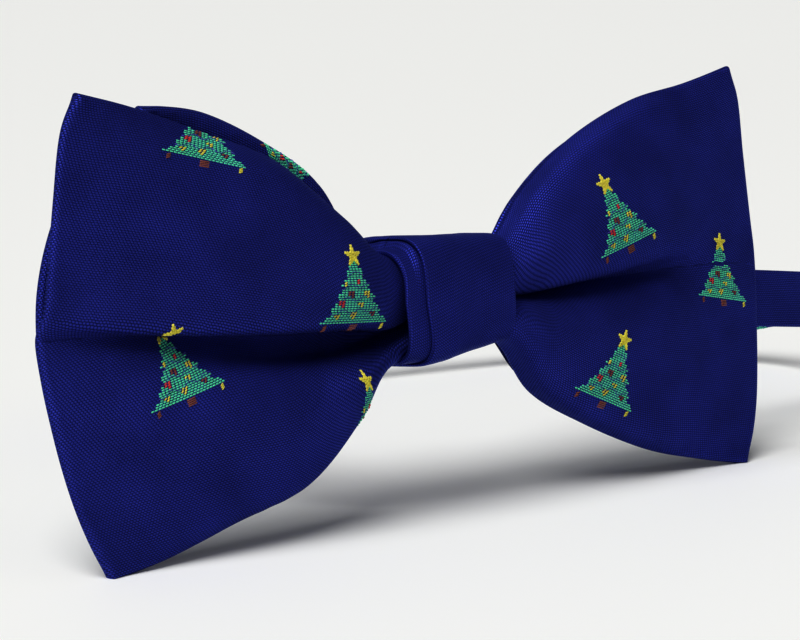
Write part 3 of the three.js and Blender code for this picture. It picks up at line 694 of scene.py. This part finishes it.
# ---- Straps ----
def strap_section(width, thickness):
    """A folded cloth strip across its run: out of the loop and across, with soft edges."""
    r = thickness * 0.42
    half, deep = width / 2 - r, thickness / 2
    shares = (0.0, 0.04, 0.1, 0.3, 0.5, 0.7, 0.9, 0.96, 1.0)
    turn = arc(0, 0, 1, 0, -180, 6)[1:-1]
    points = []
    for sign in (1, -1):
        points += [(deep * sign, -sign * half * (-1 + 2 * t)) for t in shares]
        points += [(deep * a * sign, -sign * (half - b * r)) for a, b in turn]
    # a stitch line sinks the cloth a little beside each edge
    return [(a * (1 - 0.10 * (0.86 < abs(b) / half < 0.97)), b) for a, b in points]


def strap(name, centre, across, width, thickness, body, material):
    """A strap along a path. Returns the piece and its cloth map.

    across is one direction, or one for each point of the path.
    """
    centre = np.asarray(centre, float)
    way = way_along(centre)
    side = np.broadcast_to(np.asarray(across, float), way.shape)
    side = side / np.linalg.norm(side, axis=1, keepdims=True)
    out = np.cross(side, way)
    out /= np.linalg.norm(out, axis=1, keepdims=True)
    section = np.array(strap_section(width, thickness))
    count, steps = len(section), len(centre)
    run = run_along(centre)
    girth = run_along(np.concatenate([section, section[:1]])) - width / 2
    points = centre[:, None] + out[:, None] * section[None, :, :1] + side[:, None] * section[None, :, 1:]
    points = points.reshape(-1, 3)
    faces, uvs = [], []
    for i in range(steps - 1):
        for j in range(count):
            k = (j + 1) % count
            faces.append((i * count + j, i * count + k, (i + 1) * count + k, (i + 1) * count + j))
            uvs += [(run[i], girth[j]), (run[i], girth[j + 1]),
                    (run[i + 1], girth[j + 1]), (run[i + 1], girth[j])]
    for end, order in ((0, range(count - 1, -1, -1)), (steps - 1, range(count))):
        faces.append([end * count + j for j in order])
        uvs += [(run[end] + section[j][0], section[j][1]) for j in order]
    piece = make_piece(name, points, faces, uvs, body, [material])
    if signed_volume(piece.data) < 0:
        piece.data.flip_normals()
    quads = np.array([f for f in faces if len(f) == 4])
    flat = np.array(uvs[:len(quads) * 4]).reshape(-1, 4, 2)
    corners = points[quads]
    if np.dot(np.cross(corners[0][1] - corners[0][0], corners[0][2] - corners[0][0]), out[0]) < 0:
        corners, flat = corners[:, ::-1], flat[:, ::-1]
    outer = np.concatenate([corners[:, [0, 1, 2]], corners[:, [0, 2, 3]]])
    places = np.concatenate([flat[:, [0, 1, 2]], flat[:, [0, 2, 3]]])
    return piece, ClothMap(outer, places)


def signed_volume(mesh):
    """More than 0 where a closed mesh's faces point outwards."""
    mesh.calc_loop_triangles()
    points = np.array([v.co for v in mesh.vertices])
    corners = points[np.array([t.vertices for t in mesh.loop_triangles])]
    return float(np.einsum("ij,ij->i", corners[:, 0], np.cross(corners[:, 1], corners[:, 2])).sum())


def across_of(path):
    """The upright direction across a strap at each point of its path."""
    way = np.gradient(np.asarray(path, float), axis=0)
    out = np.cross([0, 0, 1], way)
    return np.cross(way, out)


def in_plane(origin, way, out, path):
    """Points given along and out of a strap, as bow points."""
    return [np.array(origin + way * x + out * y) for x, y in path]


# ---- Metal fittings ----
BAR_WIDE = 1.2
BAR_THICK = 0.9
FITTING_OUTSIDE = 6.2
SLIDER_BOW = 2.9                      # how far the slider's outer bars stand off its middle bar
SLIDER_PITCH = 3.8                    # from bar to bar
HOOK_SLOT = 3.6                       # length of the hook's slotted end
TONGUE_STEPS = ((2.4, 0), (2.6, 0), (1.1, -0.4), (0.5, -1.1), (-0.5, -1.1), (-1.1, -0.4), (-1.4, 0.1))


def start_plate(name, length, width, cuts):
    """A flat plate in edit mode, length along X, with the given number of cells along it."""
    bpy.ops.object.select_all(action="DESELECT")
    bpy.ops.mesh.primitive_grid_add(x_subdivisions=cuts, y_subdivisions=1, size=1)
    plate = bpy.context.object
    plate.name = name
    plate.scale = (length, width, 1)
    bpy.ops.object.transform_apply(location=False, rotation=False, scale=True)
    bpy.ops.object.mode_set(mode="EDIT")
    bpy.ops.mesh.select_all(action="SELECT")
    return plate


def finish_plate(plate, thickness, bevel, node, body):
    """Thickens and rounds a plate, and lays it where its fitting's frame stands."""
    bpy.ops.object.mode_set(mode="OBJECT")
    solid = plate.modifiers.new("thickness", "SOLIDIFY")
    solid.thickness = thickness
    solid.offset = 0
    rounds = plate.modifiers.new("rounded edges", "BEVEL")
    rounds.width = bevel
    rounds.segments = 3
    rounds.limit_method = "ANGLE"
    rounds.angle_limit = math.radians(50)
    for modifier in ("thickness", "rounded edges"):
        bpy.ops.object.modifier_apply(modifier=modifier)
    bpy.ops.object.shade_smooth_by_angle(angle=math.radians(40))
    origin, way, out = node
    side = way.cross(out).normalized()
    lay = Matrix((way.normalized(), side * -1, out.normalized())).transposed()
    plate.data.transform(BOW_TO_ROW @ Matrix.Translation(origin) @ lay.to_4x4())
    plate.data.update()
    plate.data.materials.append(finish_for("nickel plating"))
    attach(plate, body)
    return plate


def pick(plate, wanted, kind="VERT"):
    """Selects the plate's corners or faces for which wanted(x, y, z of the middle) holds."""
    bpy.ops.mesh.select_mode(type=kind)
    bpy.ops.mesh.select_all(action="DESELECT")
    bpy.ops.object.mode_set(mode="OBJECT")
    parts = plate.data.vertices if kind == "VERT" else plate.data.polygons
    for part in parts:
        part.select = bool(wanted(*(part.co if kind == "VERT" else part.center)))
    bpy.ops.object.mode_set(mode="EDIT")


def add_eye(place):
    """A rectangular wire-like ring: an inset plate without its middle."""
    plate = start_plate("eye_wire", EYE_LENGTH + BAR_WIDE, 2 * FITTING_OUTSIDE, 2)
    bpy.ops.transform.translate(value=(EYE_LENGTH / 2, 0, 0))
    bpy.ops.mesh.dissolve_limited(angle_limit=0.1)
    bpy.ops.mesh.inset(thickness=BAR_WIDE, use_even_offset=True)
    bpy.ops.mesh.delete(type="FACE")
    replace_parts(finish_plate(plate, BAR_THICK, 0.28, place, "eye"), "eye_ring")


def add_hook(place):
    """A slotted plate whose end narrows to a tongue, bent back under itself."""
    plate = start_plate("hook_plate", HOOK_SLOT, 2 * FITTING_OUTSIDE, 2)
    bpy.ops.transform.translate(value=(HOOK_SLOT / 3, 0, 0))
    bpy.ops.mesh.dissolve_limited(angle_limit=0.1)
    bpy.ops.mesh.inset(thickness=BAR_WIDE, use_even_offset=True)
    bpy.ops.mesh.delete(type="FACE")
    pick(plate, lambda x, y, z: x > 2.9)
    bpy.ops.mesh.extrude_region_move(TRANSFORM_OT_translate={"value": (2.0, 0, 0)})
    bpy.ops.transform.resize(value=(1, 0.62, 1))
    bpy.ops.mesh.extrude_region_move(TRANSFORM_OT_translate={"value": (2.2, 0, 0)})
    bpy.ops.transform.resize(value=(1, 0.58, 1))
    for dx, dz in TONGUE_STEPS:
        bpy.ops.mesh.extrude_region_move(TRANSFORM_OT_translate={"value": (dx, 0, dz)})
    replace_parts(finish_plate(plate, BAR_THICK, 0.22, place, "hook"), "hook")


def add_slider(place):
    """Three bars on two rails, with the middle bar set below the outer ones."""
    plate = start_plate("slider_bars", 2 * SLIDER_PITCH + BAR_WIDE, 2 * FITTING_OUTSIDE, 2)
    bpy.ops.mesh.inset(thickness=BAR_WIDE / 2, use_individual=True, use_even_offset=True)
    bpy.ops.mesh.delete(type="FACE")
    pick(plate, lambda x, y, z: abs(x) < 1.0)
    bpy.ops.transform.translate(value=(0, 0, -SLIDER_BOW))
    bpy.ops.mesh.select_all(action="SELECT")
    bpy.ops.transform.translate(value=(0, 0, SLIDER_BOW - LOOP_MID))
    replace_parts(finish_plate(plate, BAR_THICK, 0.2, place, "slider"), "slider_frame")


# ---- Finishes ----
FLOAT_LENGTH = 0.46                   # of the satin's floats, in millimetres
THREAD_PITCH = 0.30
FLOAT_STEP = 0.4                      # each row of floats is set off from the one below by this share


def new_material(name):
    material = bpy.data.materials.new(name)
    material.use_nodes = True
    return material, material.node_tree.nodes, material.node_tree.links


def set_inputs(node, **values):
    """Sets inputs of a node, each named with _ for a space."""
    for name, value in values.items():
        node.inputs[name.replace("_", " ")].default_value = value


def add_node(nodes, kind, source=None, **values):
    """Adds a shader node with its inputs' values, reading source where one is given."""
    node = nodes.new("ShaderNode" + kind)
    set_inputs(node, **values)
    if source is not None:
        node.id_data.links.new(source, node.inputs["Value" if kind == "MapRange" else "Vector"])
    return node


def add_blend(nodes, links, share, low, high):
    """Adds a blend of two colours, and returns the blended colour."""
    blend = nodes.new("ShaderNodeMix")
    blend.data_type = "RGBA"
    set_inputs(blend, A=(*low, 1), B=(*high, 1))
    links.new(share, blend.inputs["Factor"])
    return blend.outputs["Result"]


def raise_surface(nodes, links, height, strength, distance):
    """Bumps a material's surface by a height."""
    bump = add_node(nodes, "Bump", Strength=strength, Distance=distance)
    links.new(height, bump.inputs["Height"])
    links.new(bump.outputs["Normal"], nodes["Principled BSDF"].inputs["Normal"])


def weave_group():
    """Satin floats in a diagonal brick: puts out a crest mask, a height and a slow mottling. The crest mask
    also paints shade into the colour: dark at the sides and ends of each float and between floats.
    """
    group = bpy.data.node_groups.new("satin floats", "ShaderNodeTree")
    face = group.interface
    face.new_socket("Place", in_out="INPUT", socket_type="NodeSocketVector")
    for name, value in (("Float length", FLOAT_LENGTH), ("Thread pitch", THREAD_PITCH), ("Step", FLOAT_STEP)):
        face.new_socket(name, in_out="INPUT", socket_type="NodeSocketFloat").default_value = value
    for name in ("Mask", "Height", "Mottle"):
        face.new_socket(name, in_out="OUTPUT", socket_type="NodeSocketFloat")
    nodes, links = group.nodes, group.links
    source = nodes.new("NodeGroupInput").outputs
    result = nodes.new("NodeGroupOutput")

    def work(kind, a, b=None):
        node = nodes.new("ShaderNodeMath")
        node.operation = kind
        for k, value in enumerate((a, b)):
            if isinstance(value, (int, float)):
                node.inputs[k].default_value = value
            elif value is not None:
                links.new(value, node.inputs[k])
        return node.outputs[0]

    noise = add_node(nodes, "TexNoise", source["Place"], Scale=0.9, Detail=2.0)
    split = nodes.new("ShaderNodeSeparateXYZ")
    links.new(source["Place"], split.inputs[0])
    wander = work("MULTIPLY", work("SUBTRACT", noise.outputs["Fac"], 0.5), 0.22)
    row = work("DIVIDE", work("ADD", split.outputs["Y"], wander), source["Thread pitch"])
    row_number = work("FLOOR", row)
    across = work("SUBTRACT", row, row_number)
    run = work("ADD", work("DIVIDE", split.outputs["X"], source["Float length"]),
               work("MULTIPLY", row_number, source["Step"]))
    along = work("FRACT", run)
    # round across the thread, and dipping at both ends of the float; the colour follows this crest, so it
    # carries painted shade at the sides and ends of the floats and in the gaps between them
    round_over = work("SINE", work("MULTIPLY", across, math.pi))
    end_dip = work("POWER", work("ABSOLUTE", work("SUBTRACT", work("MULTIPLY", along, 2), 1)), 3.0)
    crest = work("MULTIPLY", work("POWER", round_over, 0.7), work("SUBTRACT", 1, end_dip))
    mottle = add_node(nodes, "TexNoise", source["Place"], Scale=0.11, Detail=3.0)
    links.new(crest, result.inputs["Mask"])
    links.new(crest, result.inputs["Height"])
    links.new(mottle.outputs["Fac"], result.inputs["Mottle"])
    return group


def cloth_material(name, group, turn_deg):
    """Navy satin. The weave lies on the piece's own cloth places, turned for cloth cut on the bias. Its
    colour holds painted shade in the gaps between the floats and on their rounded sides.
    """
    colours = bpy.context.scene.tie_colours
    material, nodes, links = new_material(name)
    shader = nodes["Principled BSDF"]
    places = nodes.new("ShaderNodeUVMap")
    places.uv_map = "cloth"
    mapping = add_node(nodes, "Mapping", places.outputs[0])
    mapping.inputs["Rotation"].default_value[2] = math.radians(turn_deg)
    weave = nodes.new("ShaderNodeGroup")
    weave.node_tree = group
    set_inputs(weave, Float_length=FLOAT_LENGTH, Thread_pitch=THREAD_PITCH, Step=FLOAT_STEP)
    links.new(mapping.outputs[0], weave.inputs["Place"])
    tone = nodes.new("ShaderNodeHueSaturation")
    # painted shade: the colour runs from near-black navy in the gaps and at the float sides up to navy on the
    # crests
    shaded_floats_colour = add_blend(nodes, links, weave.outputs["Mask"], colours.navy_gap_shade, colours.navy)
    links.new(shaded_floats_colour, tone.inputs["Color"])
    spread = add_node(nodes, "MapRange", weave.outputs["Mottle"], From_Min=0.3, From_Max=0.7, To_Min=0.85,
                      To_Max=1.18)
    links.new(spread.outputs["Result"], tone.inputs["Value"])
    links.new(tone.outputs["Color"], shader.inputs["Base Color"])
    rough = add_node(nodes, "MapRange", weave.outputs["Mask"], To_Min=0.62, To_Max=0.38)
    links.new(rough.outputs["Result"], shader.inputs["Roughness"])
    raise_surface(nodes, links, weave.outputs["Height"], 0.9, 0.00009)
    set_inputs(shader, Metallic=0.6, Specular_IOR_Level=0.16, Specular_Tint=(0.35, 0.45, 1.0, 1),
               Sheen_Weight=0.03, Sheen_Roughness=0.35, Sheen_Tint=(0.3, 0.4, 1.0, 1))
    return material


def thread_material(name, colour, sheen):
    """Spun thread: fine twisted strands over one colour."""
    material, nodes, links = new_material(name)
    shader = nodes["Principled BSDF"]
    place = nodes.new("ShaderNodeTexCoord").outputs["Object"]
    noise = add_node(nodes, "TexNoise", place, Scale=2600, Detail=2)
    dark, light = [c * 0.62 for c in colour], [min(c * 1.3, 1) for c in colour]
    links.new(add_blend(nodes, links, noise.outputs["Fac"], dark, light), shader.inputs["Base Color"])
    wave = add_node(nodes, "TexWave", place, Scale=1500)
    wave.bands_direction = "DIAGONAL"
    raise_surface(nodes, links, wave.outputs["Fac"], 0.3, 0.00004)
    set_inputs(shader, Roughness=0.5, Sheen_Weight=sheen)
    return material


def canvas_material(name, colour):
    """Open plain weave of unbleached yarn."""
    material, nodes, links = new_material(name)
    shader = nodes["Principled BSDF"]
    place = nodes.new("ShaderNodeTexCoord").outputs["Object"]
    cross = nodes.new("ShaderNodeMath")
    cross.operation = "MULTIPLY"
    for k, axis in enumerate("XZ"):
        wave = add_node(nodes, "TexWave", place, Scale=420, Distortion=0.6)
        wave.bands_direction = axis
        links.new(wave.outputs["Fac"], cross.inputs[k])
    yarn = add_blend(nodes, links, cross.outputs[0], [c * 0.6 for c in colour], colour)
    links.new(yarn, shader.inputs["Base Color"])
    raise_surface(nodes, links, cross.outputs[0], 0.5, 0.0001)
    set_inputs(shader, Roughness=0.92)
    return material


def nickel_material(name, colour):
    """Nickel plating: polished, with faint wipe marks and duller patches."""
    material, nodes, links = new_material(name)
    shader = nodes["Principled BSDF"]
    place = nodes.new("ShaderNodeTexCoord").outputs["Object"]
    mapping = add_node(nodes, "Mapping", place, Scale=(1, 1, 9))
    noise = add_node(nodes, "TexNoise", mapping.outputs[0], Scale=700, Detail=4)
    rough = add_node(nodes, "MapRange", noise.outputs["Fac"], To_Min=0.14, To_Max=0.40)
    links.new(rough.outputs["Result"], shader.inputs["Roughness"])
    tint = add_blend(nodes, links, noise.outputs["Fac"], [c * 0.8 for c in colour], colour)
    links.new(tint, shader.inputs["Base Color"])
    raise_surface(nodes, links, noise.outputs["Fac"], 0.15, 0.00003)
    set_inputs(shader, Metallic=1.0)
    return material


def finish_for(name):
    """The finish of that name, made once."""
    made = bpy.data.materials.get(name)
    if made:
        return made
    colours = bpy.context.scene.tie_colours
    group = bpy.data.node_groups.get("satin floats") or weave_group()
    turns = {"navy satin": 0, "navy satin on the bias": 45, "navy satin neckband": 0}
    threads = {
        "fir thread": (colours.fir, 0.15), "gold thread": (colours.gold, 0.15),
        "red thread": (colours.red, 0.15), "bark thread": (colours.bark, 0.1),
        "sewing thread": (colours.navy, 0.2),
    }
    if name in turns:
        return cloth_material(name, group, turns[name])
    if name in threads:
        return thread_material(name, *threads[name])
    if name == "interlining canvas":
        return canvas_material(name, colours.canvas)
    return nickel_material(name, colours.nickel)


def give_finish(node, finish):
    """Puts a finish on a CAD node that stays."""
    mesh = frame["nodes"][node].data
    mesh.materials.clear()
    mesh.materials.append(finish)


# ---- Stage ----
TABLE_SIZE = 40                       # metres, so that its edge is never in view
TABLE_COLOUR = (0.93, 0.93, 0.905, 1)
SKY_COLOUR = (0.96, 0.97, 1.0, 1)
VIEW_GAMMA = 0.75
KEY_FROM, KEY_SPREAD = (-0.52, -0.20, 1.0), 42
FILL_FROM, FILL_SPREAD = (-0.55, -0.80, 0.60), 70
CAMERA_FROM_MIDDLE = (-0.18144, -0.23835)      # x and y in metres
CAMERA_TILT, CAMERA_TURN = 80.5, -35.5


# ---- Operators ----
class TIE_OT_bows(bpy.types.Operator):
    """Sews the front and back bow and lays their woven figures"""
    bl_idname = "tie.bows"
    bl_label = "Bows"

    def execute(self, context):
        satin = finish_for("navy satin")
        centre = [(0, y, z) for y, z in FRONT_CENTRE]
        front, lining, front_cloth = bow_bag(
            "front_bow", wing_profiles(FRONT_LEFT, -1, FRONT_INSETS), centre,
            wing_profiles(FRONT_RIGHT, 1, FRONT_INSETS), 0.22, 0.4, satin)
        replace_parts(front, "front_bow_face", "front_bow_backing")
        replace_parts(lining, "front_bow_interlining")
        left, right = back_wing(**BACK_LEFT), back_wing(**BACK_RIGHT)
        centre = [(0, y, z) for y, z in right[0][1]]
        back, lining, back_cloth = bow_bag(
            "back_bow", wing_profiles(left, -1, BACK_INSETS_LEFT), centre,
            wing_profiles(right, 1, BACK_INSETS_RIGHT), 0.15, 1.7, satin)
        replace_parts(back, "back_bow_face", "back_bow_backing")
        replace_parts(lining, "back_bow_interlining")
        places = [seen_from(front_cloth, tree, 1) for tree in FRONT_TREES]
        places += [seen_from(front_cloth, tree, -1) for tree in FRONT_TREES_BEHIND]
        add_figures("front_bow_figures", places, "bow")
        places = [seen_from(back_cloth, tree, 1) for tree in BACK_TREES]
        places += [seen_from(back_cloth, tree, -1) for tree in BACK_TREES_BEHIND]
        add_figures("back_bow_figures", places, "bow")
        return {"FINISHED"}


class TIE_OT_knot(bpy.types.Operator):
    """Folds the knot round both bows and closes it with stitches behind"""
    bl_idname = "tie.knot"
    bl_label = "Knot"

    def execute(self, context):
        ply = context.scene.tie_sizes.wrap_ply / MM
        knot = knot_ring("knot", knot_section(ply), ply, finish_for("navy satin on the bias"))
        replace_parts(knot, "knot_wrap")
        flat = evenly([(7.0, -0.75 * ply), (-9.2, -0.75 * ply)], 0.6)
        lining = knot_ring("knot_lining", flat, ply * 0.8, finish_for("interlining canvas"))
        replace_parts(lining, "knot_interlining")
        give_finish("centre_binding_thread", finish_for("sewing thread"))
        give_finish("knot_closing_stitches", finish_for("sewing thread"))
        return {"FINISHED"}


class TIE_OT_neckband(bpy.types.Operator):
    """Lays the neckband from the knot to the slider and folds its ends round the fittings"""
    bl_idname = "tie.neckband"
    bl_label = "Neckband"

    def execute(self, context):
        cloth = finish_for("navy satin neckband")
        stretch_start = EYE_BAR + STRETCH_OUT * LOOP_MID
        stretch = [stretch_start + STRETCH_WAY * (share * STRETCH_LENGTH)
                   for share in (1, 0.85, 0.7, 0.55, 0.4)]
        start = SWING_AXIS - HOOK_WAY * 0.5
        control = [start] + [Vector(p) for p in ROUTE] + stretch + [stretch_start + STRETCH_WAY * 8.3]
        route = evenly(spline(control, np.linspace(0, 1, 3000)), 0.8)
        inside_knot = int(np.argmin(np.linalg.norm(route - np.array((-3.0, 13.2, -0.85)), axis=1)))
        end = np.array(stretch_start + STRETCH_WAY * EYE_RUN_LENGTH)
        split = int(np.argmin(np.linalg.norm(route - end, axis=1)))

        band = route[inside_knot:split + 1]
        long_strap, long_cloth = strap("long_strap", band, across_of(band), STRAP_WIDTH, STRAP_THICK,
                                       "bow", cloth)
        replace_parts(long_strap, "neckband_long_strap")
        places = [laid_at(long_cloth, *tree) for tree in STRAP_TREES]
        add_figures("long_strap_figures", places, "bow")

        run = [stretch_start + STRETCH_WAY * d for d in np.linspace(EYE_RUN_LENGTH, 1, 40)]
        fold = arc(0, 0, LOOP_MID, 90, 270, 16) + [(1.5, -LOOP_MID), (2.8, -LOOP_MID), (4.0, -LOOP_MID)]
        path = evenly(np.array(run + in_plane(EYE_BAR, STRETCH_WAY, STRETCH_OUT, fold)), 0.45)
        across = across_of([0 * STRETCH_WAY, STRETCH_WAY])[0]
        eye_run, _ = strap("eye_run", path, across, STRAP_WIDTH, STRAP_THICK, None, cloth)
        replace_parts(eye_run, "eye_end_fold")
        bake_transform(eye_run)

        lead = route[:inside_knot + 6][::-1]
        fold = [(-15.5, LOOP_MID), (-8.0, LOOP_MID), (-4, LOOP_MID)] + arc(0, 0, LOOP_MID, 90, -90, 16)
        fold += [(-2.5, -LOOP_MID), (-7.0, -LOOP_MID)]
        path = np.concatenate([lead[:-1], in_plane(HOOK_BAR, HOOK_WAY, HOOK_OUT, fold)])
        path = evenly(path, 0.5)
        distance = (path - np.array(SWING_AXIS)) @ np.array(HOOK_WAY)
        folded = np.argmax(distance > 2)
        across = across_of(path)
        across[folded:] = np.cross(np.array(HOOK_WAY), np.array(HOOK_OUT))
        short_strap, _ = strap("short_strap_folded", path, across, STRAP_WIDTH, STRAP_THICK, None,
                               cloth)
        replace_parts(short_strap, "short_strap", "short_strap_end_fold")
        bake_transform(short_strap)

        slider = EYE_BAR + STRETCH_WAY * SLIDER_AT
        fold = [(-7.4, -1.22), (-3.0, -1.22), (-1.5, -1.0)] + arc(0, -LOOP_MID, 1.3, 150, -150, 18)
        fold += [(-1.9, -1.83), (-3.0, -1.83), (-5.6, -1.83)]
        path = evenly(np.array(in_plane(slider, STRETCH_WAY, STRETCH_OUT, fold)), 0.35)
        across = np.cross(np.array(STRETCH_WAY), np.array(STRETCH_OUT))
        slider_fold, _ = strap("slider_fold", path, across, STRAP_WIDTH, SLIDER_FOLD_THICK, "slider",
                               cloth)
        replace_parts(slider_fold, "slider_end_fold")
        for node in ("hook_bartack", "slider_bartack"):
            give_finish(node, finish_for("sewing thread"))
        add_hook((HOOK_BAR, HOOK_WAY, HOOK_OUT))
        add_eye((EYE_BAR, EYE_WAY, out_of(STRETCH_WAY)))
        add_slider((slider, STRETCH_WAY, STRETCH_OUT))
        return {"FINISHED"}


class TIE_OT_stage(bpy.types.Operator):
    """Sets the pale table, the soft lights and the camera"""
    bl_idname = "tie.stage"
    bl_label = "Stage"

    def execute(self, context):
        scene = context.scene
        settings = scene.tie_stage
        low = Vector(CAD_BOX[0])
        bpy.ops.object.select_all(action="DESELECT")
        bpy.ops.mesh.primitive_plane_add(size=TABLE_SIZE, location=(0, 0, low.z))
        table = context.object
        table.name = "table"
        bpy.ops.object.transform_apply(location=True, rotation=True, scale=True)
        material, nodes, _ = new_material("pale table")
        set_inputs(nodes["Principled BSDF"], Base_Color=TABLE_COLOUR, Roughness=0.55,
                   Specular_IOR_Level=0.25)
        table.data.materials.append(material)

        world = bpy.data.worlds.new("studio")
        world.use_nodes = True
        set_inputs(world.node_tree.nodes["Background"], Color=SKY_COLOUR, Strength=settings.sky)
        scene.world = world
        scene.view_settings.view_transform = "Standard"
        scene.view_settings.gamma = VIEW_GAMMA
        for name, toward, power, spread in (("key", KEY_FROM, settings.key_power, KEY_SPREAD),
                                            ("fill", FILL_FROM, settings.fill_power, FILL_SPREAD)):
            data = bpy.data.lights.new(name, "SUN")
            data.energy = power
            data.angle = math.radians(spread)
            light = bpy.data.objects.new(name, data)
            scene.collection.objects.link(light)
            light.rotation_euler = Vector(toward).to_track_quat("Z", "Y").to_euler()

        data = bpy.data.cameras.new("camera")
        data.lens = settings.lens
        data.sensor_width = 36
        data.clip_start = 0.01
        camera = bpy.data.objects.new("camera", data)
        scene.collection.objects.link(camera)
        camera.location = MIDDLE + Vector((*CAMERA_FROM_MIDDLE, settings.eye_height - MIDDLE.z))
        camera.rotation_euler = (math.radians(CAMERA_TILT), 0, math.radians(CAMERA_TURN))
        scene.camera = camera
        return {"FINISHED"}


class TIE_PT_panel(bpy.types.Panel):
    """Lists the steps of the bow tie in the sidebar"""
    bl_idname = "TIE_PT_panel"
    bl_label = "Bow tie"
    bl_space_type = "VIEW_3D"
    bl_region_type = "UI"
    bl_category = "Bow tie"

    def draw(self, context):
        for group in (context.scene.tie_sizes, context.scene.tie_colours, context.scene.tie_stage):
            for name in group.__annotations__:
                self.layout.prop(group, name)
        for operator in OPERATORS:
            self.layout.operator(operator.bl_idname)


OPERATORS = (TIE_OT_bows, TIE_OT_knot, TIE_OT_neckband, TIE_OT_stage)
CLASSES = (TieSizes, TieColours, TieStage, *OPERATORS, TIE_PT_panel)


def register():
    for cls in CLASSES:
        bpy.utils.register_class(cls)
    bpy.types.Scene.tie_sizes = bpy.props.PointerProperty(type=TieSizes)
    bpy.types.Scene.tie_colours = bpy.props.PointerProperty(type=TieColours)
    bpy.types.Scene.tie_stage = bpy.props.PointerProperty(type=TieStage)


def unregister():
    for name in ("tie_sizes", "tie_colours", "tie_stage"):
        delattr(bpy.types.Scene, name)
    for cls in reversed(CLASSES):
        bpy.utils.unregister_class(cls)


def main():
    register()
    bpy.ops.tie.bows()
    bpy.ops.tie.knot()
    bpy.ops.tie.neckband()
    bpy.ops.tie.stage()


if __name__ == "__main__":
    main()
